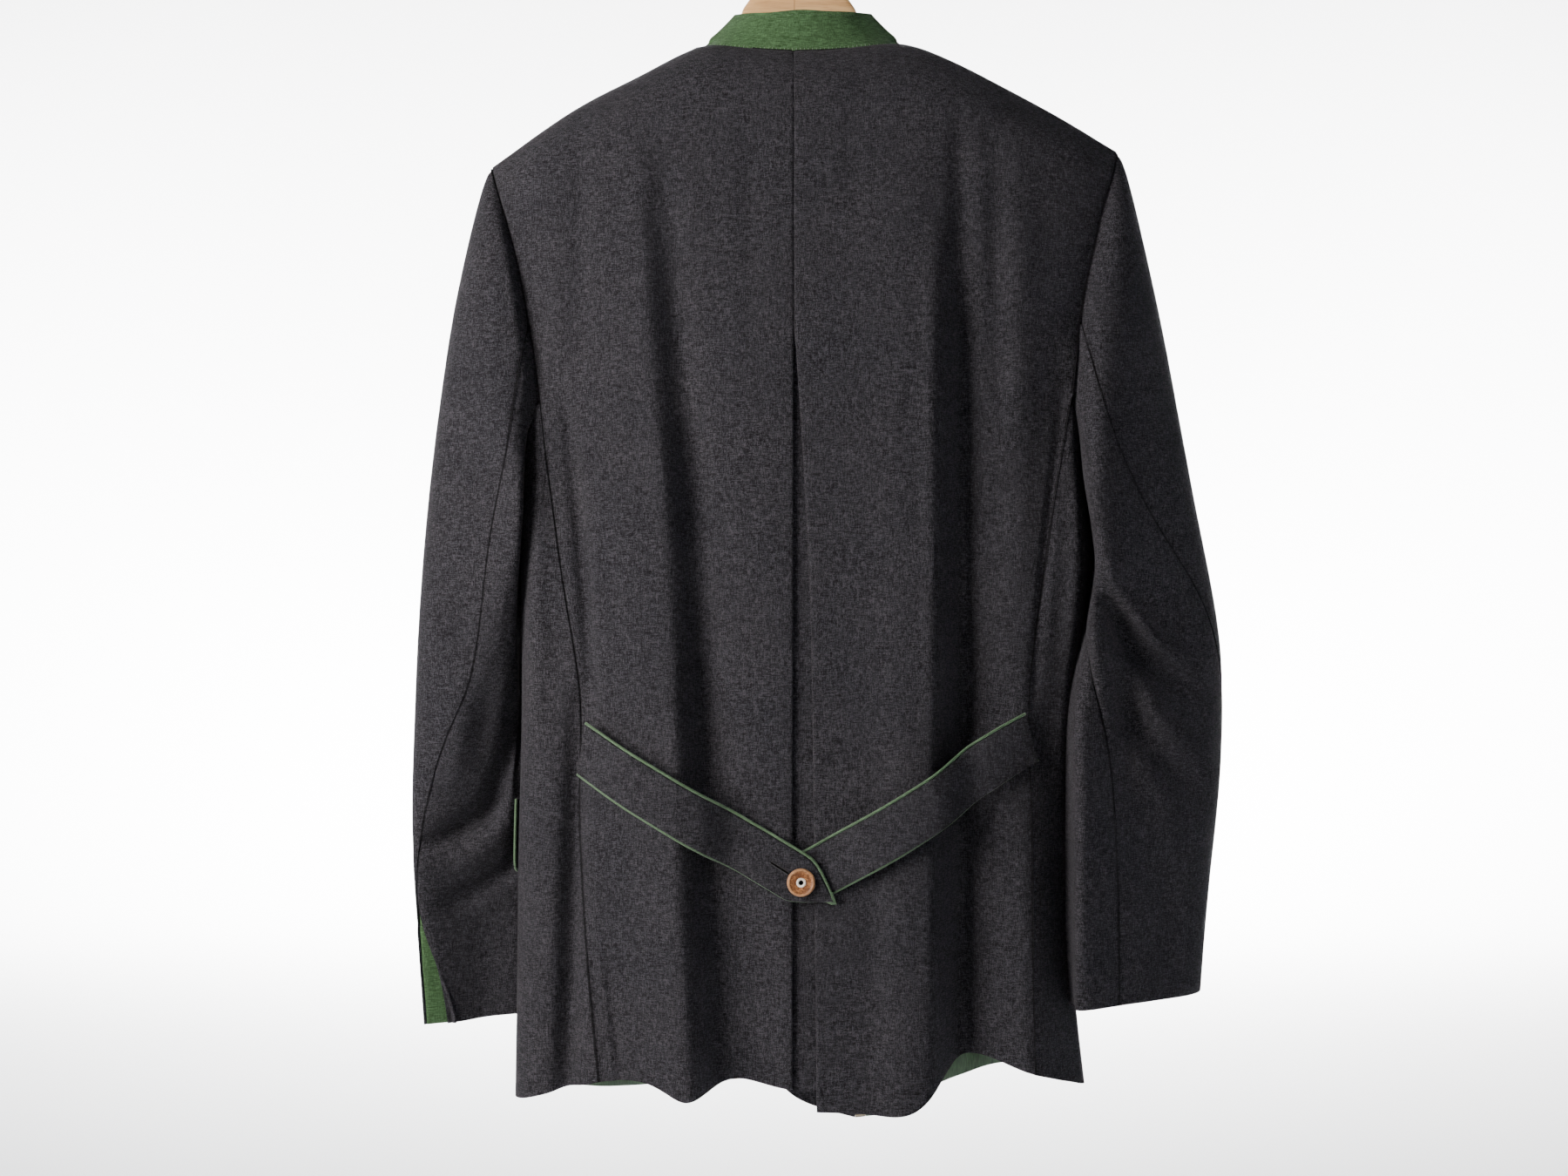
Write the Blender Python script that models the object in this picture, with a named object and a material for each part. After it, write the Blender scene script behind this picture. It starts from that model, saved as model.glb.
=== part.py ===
"""Tyrolean loden jacket on a wooden hanger.

A man's charcoal wool jacket with a green standing collar, a centre-back box pleat
and a V-shaped half belt, hanging buttoned from the hook of a wooden hanger.

Frame: the origin is the point where the hook bears on a rail.  Z points up, the
jacket's front faces -Y and the wearer's left is +X.  Lengths below are millimetres,
heights are drops below the origin, and solid() turns them into metres.
"""
import math

import bmesh
import bpy
import numpy as np
from mathutils import Vector
from mathutils.bvhtree import BVHTree

MM = 0.001

# Cloth
LODEN = 1.6            # wall of the wool cloth
LINING = 1.0           # wall of the green lining
SEAM = 0.3             # room between two pieces at a seam
LAID = 0.7             # room under a piece that lies on the cloth
ARMHOLE_ROOM = 0.9     # and between a sleeve's cap and the armhole
LAYER = LODEN + SEAM   # from one layer's outer face to the next one's
COLLAR_WALL = 2.6      # two layers of linen
STRAP_WALL = 2.4       # two layers of wool

# Grid: points down and across a panel
BODY_ROWS = 13         # from the underarm to the hem
ROLL_TURNS = (0, 22.5, 45, 67.5)   # degrees over the shoulder
YOKE_ROWS = 5          # from there to the underarm
ARMHOLE_ROWS = len(ROLL_TURNS) + YOKE_ROWS   # rows above the underarm's
BACK_SHARES = 7
FRONT_SHARES = 7
FRONT_NEAR = (-22, -11, 0, 22, 45)  # first columns of a front, from past the centre front
SIDE_COLUMNS = 7
SETTLE = 6             # rounds for a column's ends to settle on their lines

# Body: half widths and depths of its level sections, by drop
BODY_COLUMNS = ("drop", "left", "right", "back", "front")
BODY = (
    (80, 262, 266, 58, 56),
    (200, 243, 250, 62, 62),
    (260, 230, 238, 65, 66),
    (320, 221, 228, 66, 68),
    (400, 216, 214, 65, 68),
    (440, 215, 217, 64, 67),
    (490, 213.4, 225, 62.5, 64.5),
    (530, 212.7, 222, 61.4, 63),
    (570, 212.2, 213, 60.5, 61.7),
    (600, 212, 209, 60, 61),
    (720, 215, 206, 60, 62),
    (820, 216, 210, 62, 66),
    (940, 218, 224, 64, 70),
)
BODY_ROUND = 2.4       # power of the section's superellipse
ROLL = 45              # height over which the cloth rolls over the shoulder
# Top line of the shoulders, from side to side (x, drop)
RIDGE_COLUMNS = ("x", "drop")
RIDGE = (
    (-285, 212),
    (-242, 186),
    (-205, 164),
    (-158, 139),
    (-102, 111.5),
    (-81, 104),
    (-40, 106),
    (0, 106),
    (40, 106),
    (75, 106),
    (116, 127),
    (167, 152),
    (206, 178),
    (234, 198),
    (280, 228),
)
NECK = {1: 75, -1: 81}         # half widths of the neckline at the shoulder
TIP = {1: 234, -1: 242}        # shoulder points
BACK_NECK_DROP = 11            # how far the back neckline dips
FRONT_NECK_DROP = 82           # how far the front neckline dips
JOIN = 380                     # drop where the armhole meets the side seams
ARMHOLE_DIP = 20               # underarm below that

# Edges of the back by drop: the armhole, then the side-back seam
EDGE_COLUMNS = ("drop", "left", "right")
BACK_EDGE = (
    (80, 236, 244),
    (150, 235.5, 243.5),
    (186, 235, 242),
    (198, 234, 239),
    (212, 230, 235),
    (240, 221, 226),
    (272, 212, 219),
    (304, 206, 212),
    (336, 200, 208),
    (364, 196, 206),
    (380, 194, 203),
    (420, 190, 196),
    (452, 185, 190),
    (497, 180, 184),
    (556, 170, 176),
    (610, 162, 170),
    (661, 166, 173),
    (704, 165, 174),
    (792, 159, 174),
    (900, 148, 176),
)
# Edges of the front by drop: the armhole, then the side-front seam
FRONT_EDGE = (
    (80, 236, 244),
    (150, 235.5, 243.5),
    (186, 235, 242),
    (198, 234, 237),
    (212, 227, 231),
    (240, 213, 219),
    (272, 201, 208),
    (304, 194, 200),
    (336, 192, 197),
    (364, 193, 198),
    (380, 195, 199),
    (452, 190, 192),
    (556, 180, 180),
    (661, 178, 176),
    (792, 178, 176),
    (940, 180, 180),
)
# Centre-back edges: one seam to the pleat, then the two folds
CENTRE_COLUMNS = ("drop", "left", "right")
CENTRE = (
    (80, 4.5, 4.5),
    (332, 4.0, 4.0),
    (420, 4.0, -2.0),
    (520, 4.2, -7.0),
    (700, 4.6, -10.0),
    (940, 5.2, -12.4),
)
# Hem by angle round the body, from centre back to centre front
HEM_COLUMNS = ("angle", "left", "right")
HEM = (
    (0, 889, 905),
    (6, 887, 905),
    (12, 882, 906),
    (17, 888, 907),
    (22, 897, 905),
    (25, 891, 896),
    (29, 884, 877),
    (32, 883, 867),
    (36, 884, 866),
    (46, 889, 877),
    (56, 897, 885),
    (66, 903, 891),
    (90, 905, 896),
    (120, 906, 893),
    (142, 909, 893),
    (148, 911, 902),
    (153, 911, 914),
    (159, 908, 932),
    (166, 907, 937.5),
    (171, 905.5, 935),
    (176, 904, 930),
    (181, 901, 922),
    (186, 893, 902),
)
# Standing folds of the body: centre line x at two drops, half width, height out at each
FOLD_COLUMNS = ("face", "x_top", "x_low", "top", "low", "width", "out_top", "out_low")
BODY_FOLDS = (
    ("back", 132, 84, 300, 900, 24, 3, 15),
    ("back", 84, 42, 330, 900, 22, -4, -15),
    ("back", 168, 140, 420, 900, 18, -3, -7),
    ("back", -84, -80, 260, 900, 22, 4, 13),
    ("back", -122, -124, 260, 900, 20, -6, -20),
    ("back", -168, -168, 420, 900, 20, 2, 5),
    ("front", 120, 96, 300, 900, 24, 3, 12),
    ("front", 78, 60, 380, 900, 20, -3, -9),
    ("front", 150, 150, 480, 900, 18, -2, -9),
    ("front", -112, -88, 300, 900, 24, 3, 14),
    ("front", -140, -128, 360, 900, 20, -3, -16),
    ("front", -62, -52, 420, 900, 18, -2, -6),
)
FOLD_FADE = 70         # length over which a fold dies out upwards

PLEAT_TOP = 332        # drop where the centre seam opens into the pleat
PLEAT_RADIUS = 2.1     # outer radius of the turned edge
PLEAT_TURNS = (180, 120, 60)       # degrees round the turned edge
PLEAT_STEPS = (12, 32)  # how far the turned-in cloth reaches, column by column
UNDERLAY_HEM = 892
UNDERLAY_ROOM = 0.4    # behind the turned-in edges
FRONT_LAP = (8, 22)    # degrees past the centre front where the left front lies over the right

# Sleeves: level sections by drop
SLEEVE_COLUMNS = ("drop", "inner", "outer", "middle", "depth", "skew")
SLEEVE = {
    1: (
        (190, 206, 242, 0, 34, 0),
        (250, 203, 252, 0, 50, 0),
        (310, 200, 263, 0, 60, 0),
        (380, 198, 273, 0, 66, 0),
        (440, 197, 281, -2, 66, 0),
        (500, 198, 287, -5, 62, 0),
        (560, 199, 292, -10, 56, 4),
        (620, 197, 295, -18, 47, 10),
        (680, 189, 297, -29, 37, 18),
        (740, 179, 296.5, -40, 28, 26),
        (800, 170, 292, -49, 22, 33),
        (870, 164, 288, -54, 18, 36),
    ),
    -1: (
        (180, 213, 251, 0, 34, 0),
        (250, 211, 262, 0, 50, 0),
        (310, 209, 274, 0, 60, 0),
        (380, 204, 287, 2, 66, 0),
        (450, 210, 299, 4, 66, 0),
        (500, 217, 310, 4, 62, -2),
        (560, 207, 320.5, 5, 57, -2),
        (620, 203, 322, 6, 53, -3),
        (680, 203, 319.5, 6, 49, -3),
        (740, 203, 312.5, 6, 45, -3),
        (850, 202, 303.5, 6, 40, -2),
    ),
}
SLEEVE_ROUND = 2.2
SLEEVE_SEAM_COLUMNS = ("drop", "hind", "fore")   # degrees round the section from outside
SLEEVE_SEAMS = {
    1: (
        (300, 128, 228),
        (384, 119, 215),
        (430, 109, 207),
        (486, 101, 197),
        (520, 98, 190),
        (610, 82, 172),
        (646, 61, 165),
        (690, 43, 158),
        (771, 8, 150),
        (870, -4, 142),
    ),
    -1: (
        (300, 125, 228),
        (382, 109, 215),
        (436, 94, 202),
        (484, 80, 180),
        (530, 57, 156),
        (580, 32, 137),
        (632, 10, 123),
        (700, 0, 114),
        (840, -5, 105),
    ),
}
CUFF_DROP = {1: 851, -1: 831}
CUFF_TILT = {1: 5, -1: -1}     # outer edge of the cuff below its middle
CAP_TILT_FADE = 1.6            # how soon the rings level out below the armhole
CAP_ROWS = (0.0, 0.35, 0.66, 0.88, 1.0)   # how fully the cap has left the armhole
CAP_SHARES = (0, 0.025, 0.06, 0.105)       # shares of the sleeve's length of those rows
ARM_ROWS = 12                              # and the rows from there to the cuff
ARM_START = 0.16
SEAM_POINTS = (7, 16)          # points of the armhole where the hind and fore seams start
# Room between sleeve and body, wider beside the pocket flaps
CLEAR_COLUMNS = ("drop", "left", "right")
CLEAR_OF_BODY = (
    (320, 3.0, 2.6),
    (560, 3.0, 2.6),
    (610, 3.0, 2.6),
    (635, 3.6, 3.0),
    (665, 6.4, 4.4),
    (750, 6.4, 4.4),
    (775, 5.0, 3.2),
    (800, 4.0, 2.6),
)
BODY_TOUCH = 2.0               # how softly the sleeve turns aside from the body
TOUCH_TOP = 320                # and from which drop down
# Sleeve creases: from (drop, degrees) to (drop, degrees), half width, height out
GIRTH_A_DEGREE = 0.95          # cloth round the sleeve for each degree
CREASE_END = 0.12              # how soon a crease dies out at its ends
CREASE_COLUMNS = ("drop_a", "degrees_a", "drop_b", "degrees_b", "width", "out")
CREASES = {
    1: (
        (500, 150, 700, 75, 17, -9),
        (560, 118, 690, 50, 13, 5),
        (470, 60, 640, 20, 14, -3),
        (700, 110, 830, 80, 18, -4),
        (480, 300, 600, 250, 18, -5),
        (560, 330, 700, 285, 16, -4),
    ),
    -1: (
        (505, 160, 600, 40, 14, -7),
        (545, 150, 640, 60, 12, 5),
        (560, 165, 690, 100, 15, -8),
        (610, 110, 690, 30, 14, -5),
        (480, 300, 600, 250, 18, -5),
        (560, 330, 700, 285, 16, -4),
    ),
}
VENT_TOP = 771                 # where the left cuff's vent opens
VENT_GAP = 17                  # and how wide it gapes at the cuff
VENT_ROOM = 1.7                # room between the sleeve's cloth and its facing

# Collar
COLLAR_RISE_BACK = 31
COLLAR_RISE_SIDE = 23
COLLAR_RISE_FRONT = 27
COLLAR_LEAN_SIDE = 0.67        # upper ring's half width over the lower one's
COLLAR_LEAN_DEEP = 0.84
COLLAR_BEND = 0.8              # the band leans more near its seam
COLLAR_ROWS = (0.0, 0.3, 0.62, 0.86, 1.0)

# Half belt: centre line of each strap (x, drop), from its seam to its free end
STRAP_HALF = 17.4              # cloth of a strap, half width
STRAPS = {
    1: ((162, 639), (120, 664), (76, 690), (36, 713), (10, 728), (-1, 735)),
    -1: ((-171, 631), (-151, 641), (-128, 657), (-102, 676), (-70, 696), (-38, 715), (-12, 730), (10, 741)),
}
STRAP_CUTS = {1: 6.4, -1: 3.9}  # how far the sewn end's corners lie off square, along the seam
STRAP_POINT = 28               # how far the left strap's point reaches past its corners
STRAP_STEPS = 22
STRAP_BRIDGE = 7.0             # how far the straps and flaps bridge the folds below
TUBE_SIDES = 6
STRAP_COLUMNS = 5
PIPING = 1.1                   # radius of the green piping
PIPING_OUT = PIPING + 0.4      # its middle from the edge that it follows
POINT_OUT = 2.0                # and more so round the strap's point
CORNER_OUT = 0.6               # less at a flap's corners
BELT_BUTTON = (-1.0, 735)      # x and drop
BUTTON_RADIUS = 10.4
BUTTON_THICK = 4.2
BUTTON_SIDES = 16
# Shares of the radius and of the thickness, from the back's middle to the face's
BUTTON_PROFILE = (
    (0.0, 0.0), (0.86, 0.0), (1.0, 0.3), (1.0, 0.62), (0.9, 1.0), (0.74, 1.0), (0.6, 0.74), (0.0, 0.7),
)
BUTTON_REST = 0.9              # share of the radius that rests on the cloth

# Fronts
FRONT_BUTTONS = (222, 314, 406, 498, 590)
FACING_WIDE = 72
BRAID_WIDE = 9
FLAP_TOP = 680
FLAP_HIGH = 52
FLAP_BOW = 6                   # how much deeper a flap is in its middle
FLAP_ANGLES = (91, 150)
FLAP_COLUMNS = 10
FLAP_ROWS = 4

# Hanger
HANGER_REACH = 207             # half its length
HANGER_GAP = 2.6               # below the cloth's outer face
NECK_GAP = 2.8                 # more room below the collar
NECK_GAP_END = 125             # which ends this far out
NECK_GAP_FADE = 30
HANGER_HIGH = 30
HANGER_TAPER = 0.25            # share of the height lost at the ends
HANGER_SLIM = 7                # half depth near the neck
HANGER_WIDE = 15               # and at the shoulders
WIDE_START = 0.35              # shares of the reach
WIDE_FADE = 0.6
END_START = 0.93
END_LEAST = 0.3
HANGER_ROUND = 2.1
HANGER_SIDES = 12
HANGER_RINGS = 8
HUMP_TOP = 62                  # drop of the top of the middle hump
HUMP_HALF = 62
HUMP_LINE = (                  # share of the hump's height by the distance from the middle
    (0, 1.0), (14, 1.0), (26, 0.97), (34, 0.9), (40, 0.81), (44, 0.68), (46.5, 0.45), (48.5, 0.2), (51, 0.05),
    (HUMP_HALF, 0.0),
)
WIRE = 2.3
HOOK_RADIUS = 20               # inside, so its centre's drop too
HOOK_DEGREES = (-70, 206, 15)  # from, to and step round its centre
HOOK_SIDES = 8

# Laying one piece on another
RAY_REACH = 60.0       # how far from the plain body the cloth is looked for
BODY_RADIUS = 170.0    # cloth round the body for each radian
BRIDGE_SAG = 0.2       # how far a point may sink below its neighbours

# Fabric and other finishes: colour, roughness, metallic
FINISHES = {
    "charcoal wool": ((0.047, 0.044, 0.048), 0.92, 0.0),
    "green linen": ((0.075, 0.135, 0.062), 0.88, 0.0),
    "green lining": ((0.030, 0.075, 0.026), 0.60, 0.0),
    "green piping": ((0.060, 0.130, 0.050), 0.85, 0.0),
    "striped braid": ((0.420, 0.330, 0.220), 0.80, 0.0),
    "stag horn": ((0.240, 0.135, 0.075), 0.45, 0.0),
    "beech": ((0.620, 0.380, 0.200), 0.45, 0.0),
    "steel": ((0.620, 0.620, 0.640), 0.25, 1.0),
}


def clear_scene():
    for item in list(bpy.data.objects):
        bpy.data.objects.remove(item, do_unlink=True)


def finish(name):
    """One Principled material for each finish."""
    found = bpy.data.materials.get(name)
    if found:
        return found
    colour, roughness, metallic = FINISHES[name]
    made = bpy.data.materials.new(name)
    made.use_nodes = True
    shader = made.node_tree.nodes["Principled BSDF"]
    shader.inputs["Base Color"].default_value = (*colour, 1.0)
    shader.inputs["Roughness"].default_value = roughness
    shader.inputs["Metallic"].default_value = metallic
    return made


def solid(name, points, faces, finish_name, crease=50):
    """An object of its own from points in millimetres."""
    mesh = bpy.data.meshes.new(name)
    mesh.from_pydata([tuple(float(c) * MM for c in p) for p in points], [], faces)
    mesh.validate()
    item = bpy.data.objects.new(name, mesh)
    bpy.context.scene.collection.objects.link(item)
    mesh.materials.append(finish(finish_name))
    mesh.shade_smooth()
    mesh.set_sharp_from_angle(angle=math.radians(crease))
    return item


def smooth(rows, columns, name):
    """A smooth function of a table's first column."""
    xs = np.array([row[0] for row in rows], float)
    ys = np.array([row[columns.index(name)] for row in rows], float)
    slopes = np.gradient(ys, xs)

    def value(x):
        x = np.clip(x, xs[0], xs[-1])
        i = np.clip(np.searchsorted(xs, x) - 1, 0, len(xs) - 2)
        span = xs[i + 1] - xs[i]
        t = (x - xs[i]) / span
        start = ys[i] * (2 * t ** 3 - 3 * t ** 2 + 1) + slopes[i] * span * (t ** 3 - 2 * t ** 2 + t)
        end = ys[i + 1] * (3 * t ** 2 - 2 * t ** 3) + slopes[i + 1] * span * (t ** 3 - t ** 2)
        return start + end

    return value


def ease(t):
    t = np.clip(t, 0.0, 1.0)
    return t * t * (3 - 2 * t)


def unit(v):
    return v / np.maximum(np.linalg.norm(v, axis=-1, keepdims=True), 1e-9)


SIDES = {1: "left", -1: "right"}
half_width = {s: smooth(BODY, BODY_COLUMNS, n) for s, n in SIDES.items()}
back_depth = smooth(BODY, BODY_COLUMNS, "back")
front_depth = smooth(BODY, BODY_COLUMNS, "front")
ridge = smooth(RIDGE, RIDGE_COLUMNS, "drop")
back_edge = {s: smooth(BACK_EDGE, EDGE_COLUMNS, n) for s, n in SIDES.items()}
front_edge = {s: smooth(FRONT_EDGE, EDGE_COLUMNS, n) for s, n in SIDES.items()}
centre_lines = {s: smooth(CENTRE, CENTRE_COLUMNS, n) for s, n in SIDES.items()}
clear_of_body = {s: smooth(CLEAR_OF_BODY, CLEAR_COLUMNS, n) for s, n in SIDES.items()}
hem_line = {s: smooth(HEM, HEM_COLUMNS, n) for s, n in SIDES.items()}


def centre(side, drop):
    """The centre-back edge; the right one never crosses the left one."""
    line = centre_lines[1](drop)
    return line if side > 0 else np.minimum(line, centre_lines[-1](drop))


def section(angle, power):
    """A superellipse of half sizes 1 and 1, by the angle from its second axis."""
    s, c = np.sin(angle), np.cos(angle)
    reach = (np.abs(s) ** power + np.abs(c) ** power) ** (-1 / power)
    return reach * s, reach * c


def body_folds(x, along, drop):
    """How far the standing folds push the cloth out."""
    out = np.zeros_like(x)
    for row in BODY_FOLDS:
        fold = dict(zip(FOLD_COLUMNS, row))
        here = along > 0 if fold["face"] == "back" else along < 0
        t = np.clip((drop - fold["top"]) / (fold["low"] - fold["top"]), 0, 1)
        line = fold["x_top"] + (fold["x_low"] - fold["x_top"]) * t
        height = fold["out_top"] + (fold["out_low"] - fold["out_top"]) * t
        height = height * ease((drop - fold["top"] + FOLD_FADE) / FOLD_FADE)
        out += np.where(here, height * np.exp(-((x - line) / fold["width"]) ** 2), 0)
    return out


def body(angle, drop, folded=True):
    """Points of the coat's outer face; angle 0 is the centre back, +90 degrees the left side."""
    angle, drop = np.broadcast_arrays(np.asarray(angle, float), np.asarray(drop, float))
    across, along = section(angle, BODY_ROUND)
    half = np.where(across >= 0, half_width[1](drop), half_width[-1](drop))
    x = half * across
    deep = np.where(along >= 0, back_depth(drop), front_depth(drop))
    rise = np.clip(1 - (drop - ridge(x)) / ROLL, 0, 1)
    roll = np.sqrt(1 - rise ** 2)
    y = deep * along * roll
    if folded:
        y = y + np.sign(along) * body_folds(x, along, drop) * roll * ease(np.abs(along) / 0.75)
    return np.stack([x, y, -drop], axis=-1)


def body_normal(angle, drop, folded=True):
    here = body(angle, drop, folded)
    turn = body(np.asarray(angle) + 0.001, drop, folded) - here
    fall = body(angle, np.asarray(drop) + 0.05, folded) - here
    return unit(np.cross(turn, fall))


def angle_at(x, drop, front):
    """The angle round the body of a point at x, on its back or its front."""
    x = np.asarray(x, float)
    half = np.where(x >= 0, half_width[1](drop), half_width[-1](drop))
    across = np.clip(x / half, -0.9999, 0.9999)
    along = (1 - np.abs(across) ** BODY_ROUND) ** (1 / BODY_ROUND)
    return np.arctan2(across, -along if front else along)


def cloth(name, outer, normals, wall, finish_name):
    """A closed wall of cloth: a grid of outer points and the same grid moved in."""
    rows, columns = outer.shape[:2]
    inner = outer - normals * wall
    points = np.concatenate([outer.reshape(-1, 3), inner.reshape(-1, 3)])
    inside = rows * columns

    def at(r, c):
        return r * columns + c

    faces = []

    def rim(a, b):
        """The two triangles that close the wall along an edge from a to b."""
        faces.extend(((a, b, b + inside), (a, b + inside, a + inside)))

    for r in range(rows - 1):
        for c in range(columns - 1):
            a, b, d, e = at(r, c), at(r, c + 1), at(r + 1, c + 1), at(r + 1, c)
            for one, two, three in ((a, b, d), (a, d, e)):
                faces.append((one, two, three))
                faces.append((three + inside, two + inside, one + inside))
    for c in range(columns - 1):
        rim(at(0, c + 1), at(0, c))
        rim(at(rows - 1, c), at(rows - 1, c + 1))
    for r in range(rows - 1):
        rim(at(r, 0), at(r + 1, 0))
        a, b = at(r, columns - 1), at(r + 1, columns - 1)
        faces.extend(((b, a, b + inside), (a, a + inside, b + inside)))
    r, c = rows // 2, columns // 2
    turn = np.cross(outer[r, c] - outer[r, c - 1], outer[r, c] - outer[r - 1, c])
    if np.dot(turn, normals[r, c]) < 0:
        faces = [face[::-1] for face in faces]
    return solid(name, points, faces, finish_name)


def body_rows(top, low, rolled):
    """Drops of a column's points: over the shoulder, down to the underarm, then to the hem."""
    if not rolled:
        return np.linspace(top, low, BODY_ROWS)
    turns = np.radians(ROLL_TURNS)
    yoke = np.linspace(top + ROLL, JOIN, YOKE_ROWS + 1)[:-1]
    return np.concatenate([top + ROLL * (1 - np.cos(turns)), yoke, np.linspace(JOIN, low, BODY_ROWS)])


def neck_drop(x, side, front):
    """The neckline below the shoulder line."""
    t = np.clip(np.abs(x) / NECK[side], 0, 1)
    return FRONT_NECK_DROP * np.sqrt(1 - t ** 2) if front else BACK_NECK_DROP * (1 - t ** 2)


def column_drops(place, side, front, in_neck, past_centre):
    """Drops of a column from the shoulder line or neckline to the hem; place gives its x at a drop."""
    top = float(ridge(place(JOIN)))
    for _ in range(SETTLE):
        x = place(top)
        top = float(ridge(x) + (neck_drop(x, side, front) if in_neck else 0.0))
    low = float(JOIN)
    for _ in range(SETTLE):
        turned = np.degrees(abs(angle_at(place(low), low, front)))
        low = float(hem_line[side](360 - turned if past_centre else turned))
    return body_rows(top, low, True)


def seam_room(xs, column, side):
    """Half the room of the side seam, below the underarm."""
    return xs - side * np.where(column > JOIN + 1, SEAM / 2, 0)


def back_grid(side):
    """Angles and drops of a back panel: columns from the centre fold to the armhole and side seam."""
    turn_in = SEAM / 2 + PLEAT_RADIUS
    near = [turn_in] + [turn_in + step for step in PLEAT_STEPS]
    columns = [("near", value) for value in near] + [("half", 0.5), ("neck", 0.0)]
    columns += [("out", share) for share in np.linspace(0, 1, BACK_SHARES + 1)[1:]]
    angles, drops = [], []
    for kind, value in columns:
        def place(drop):
            centre_x = centre(side, drop)
            edge_x = side * back_edge[side](drop)
            inner_x = centre_x + side * near[-1]
            # the neck column keeps its share of the way down the panel
            share = (side * NECK[side] - inner_x) / (side * TIP[side] - inner_x)
            neck_here = inner_x + (edge_x - inner_x) * share
            if kind == "near":
                return centre_x + side * value
            if kind == "half":
                return inner_x + (neck_here - inner_x) * value
            return neck_here + (edge_x - neck_here) * value

        column = column_drops(place, side, False, kind in ("near", "half"), False)
        xs = np.array([place(d) for d in column])
        if value == 1.0:
            xs = seam_room(xs, column, side)
        angles.append(angle_at(xs, column, False))
        drops.append(column)
    return np.array(angles).T, np.array(drops).T


def front_grid(side):
    """Angles and drops of a front: columns from the front edge to the armhole and side-front seam."""
    columns = [("near", value) for value in FRONT_NEAR] + [("neck", 0.0)]
    columns += [("out", share) for share in np.linspace(0, 1, FRONT_SHARES + 1)[1:]]
    angles, drops = [], []
    for kind, value in columns:
        def place(drop):
            edge_x = side * front_edge[side](drop)
            inner_x = side * FRONT_NEAR[-1]
            share = (side * NECK[side] - inner_x) / (side * TIP[side] - inner_x)
            neck_here = inner_x + (edge_x - inner_x) * share
            if kind == "near":
                return side * value
            return neck_here + (edge_x - neck_here) * value

        column = column_drops(place, side, True, kind == "near", kind == "near" and value < 0)
        xs = np.array([place(d) for d in column])
        if value == 1.0:
            xs = seam_room(xs, column, side)
        turned = angle_at(xs, column, True)
        # angles run on past the centre front instead of starting again
        turned = np.where(turned * side < 0, turned + side * 2 * np.pi, turned)
        angles.append(turned)
        drops.append(column)
    return np.array(angles).T, np.array(drops).T


def side_grid(side):
    """Angles and drops of a side panel, from the side-back seam to the side-front seam."""
    angles, drops = [], []
    for share in np.linspace(0, 1, SIDE_COLUMNS):
        top = JOIN + ARMHOLE_DIP * math.sin(math.pi * share)

        def place(drop):
            start = angle_at(side * back_edge[side](drop), drop, False)
            end = angle_at(side * front_edge[side](drop), drop, True)
            return start + (end - start) * share

        low = float(JOIN)
        for _ in range(SETTLE):
            low = float(hem_line[side](np.degrees(abs(place(low)))))
        column = body_rows(top, low, False)
        turned = np.array([place(d) for d in column])
        if share == 0:
            turned = angle_at(side * (back_edge[side](column) + SEAM / 2), column, False)
        if share == 1:
            turned = angle_at(side * (front_edge[side](column) + SEAM / 2), column, True)
        angles.append(turned)
        drops.append(column)
    return np.array(angles).T, np.array(drops).T


def front_lift(side, angles):
    """The left front lies over the right one at the centre front."""
    if side < 0:
        return np.zeros_like(angles)
    start, end = FRONT_LAP
    from_centre = np.degrees(np.pi - angles)
    return 2 * LAYER * (1 - ease((from_centre - start) / (end - start)))


def part_shoulders(outer):
    """Half the room of the shoulder seam, taken off a panel's top edge."""
    outer[0] += unit(outer[1] - outer[0]) * SEAM / 2


def build_backs():
    grids = {}
    for side, word in SIDES.items():
        angles, drops = back_grid(side)
        outer = body(angles, drops)
        normals = body_normal(angles, drops)
        part_shoulders(outer)
        grids[side] = (angles, drops, outer, normals)
        # the centre edge turns in on itself and runs back behind the panel
        count = len(PLEAT_STEPS)
        toward = unit(outer[:, 0] - outer[:, 1])
        core = outer[:, 0] - normals[:, 0] * PLEAT_RADIUS
        turned, turned_normals = [], []
        for step in range(count, 0, -1):
            turned.append(outer[:, step] - normals[:, step] * 2 * PLEAT_RADIUS)
            turned_normals.append(-normals[:, step])
        for turn in np.radians(PLEAT_TURNS):
            way = unit(normals[:, 0] * math.cos(turn) + toward * math.sin(turn))
            turned.append(core + way * PLEAT_RADIUS)
            turned_normals.append(way)
        full = np.concatenate([np.stack(turned, axis=1), outer], axis=1)
        full_normals = np.concatenate([np.stack(turned_normals, axis=1), normals], axis=1)
        cloth("back_" + word, full, full_normals, LODEN, "charcoal wool")
    build_underlay(grids)
    return grids


def build_underlay(grids):
    """The strip behind the open pleat, on the panels' own points moved in."""
    depth = 2 * PLEAT_RADIUS + UNDERLAY_ROOM
    first = int(np.argmin(np.abs(grids[1][1][:, 0] - PLEAT_TOP)))
    columns, normals = [], []
    for side, order in ((1, (2, 1, 0)), (-1, (0, 1, 2))):
        angles, drops, outer, out = grids[side]
        for c in order:
            column = outer[first:, c] - out[first:, c] * depth
            low, above = -column[-1, 2], -column[-2, 2]
            if low > UNDERLAY_HEM:
                share = (UNDERLAY_HEM - above) / (low - above)
                column[-1] = column[-2] + (column[-1] - column[-2]) * share
            columns.append(column)
            normals.append(out[first:, c])
    cloth("pleat_underlay", np.stack(columns, axis=1), np.stack(normals, axis=1), LODEN, "charcoal wool")


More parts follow.
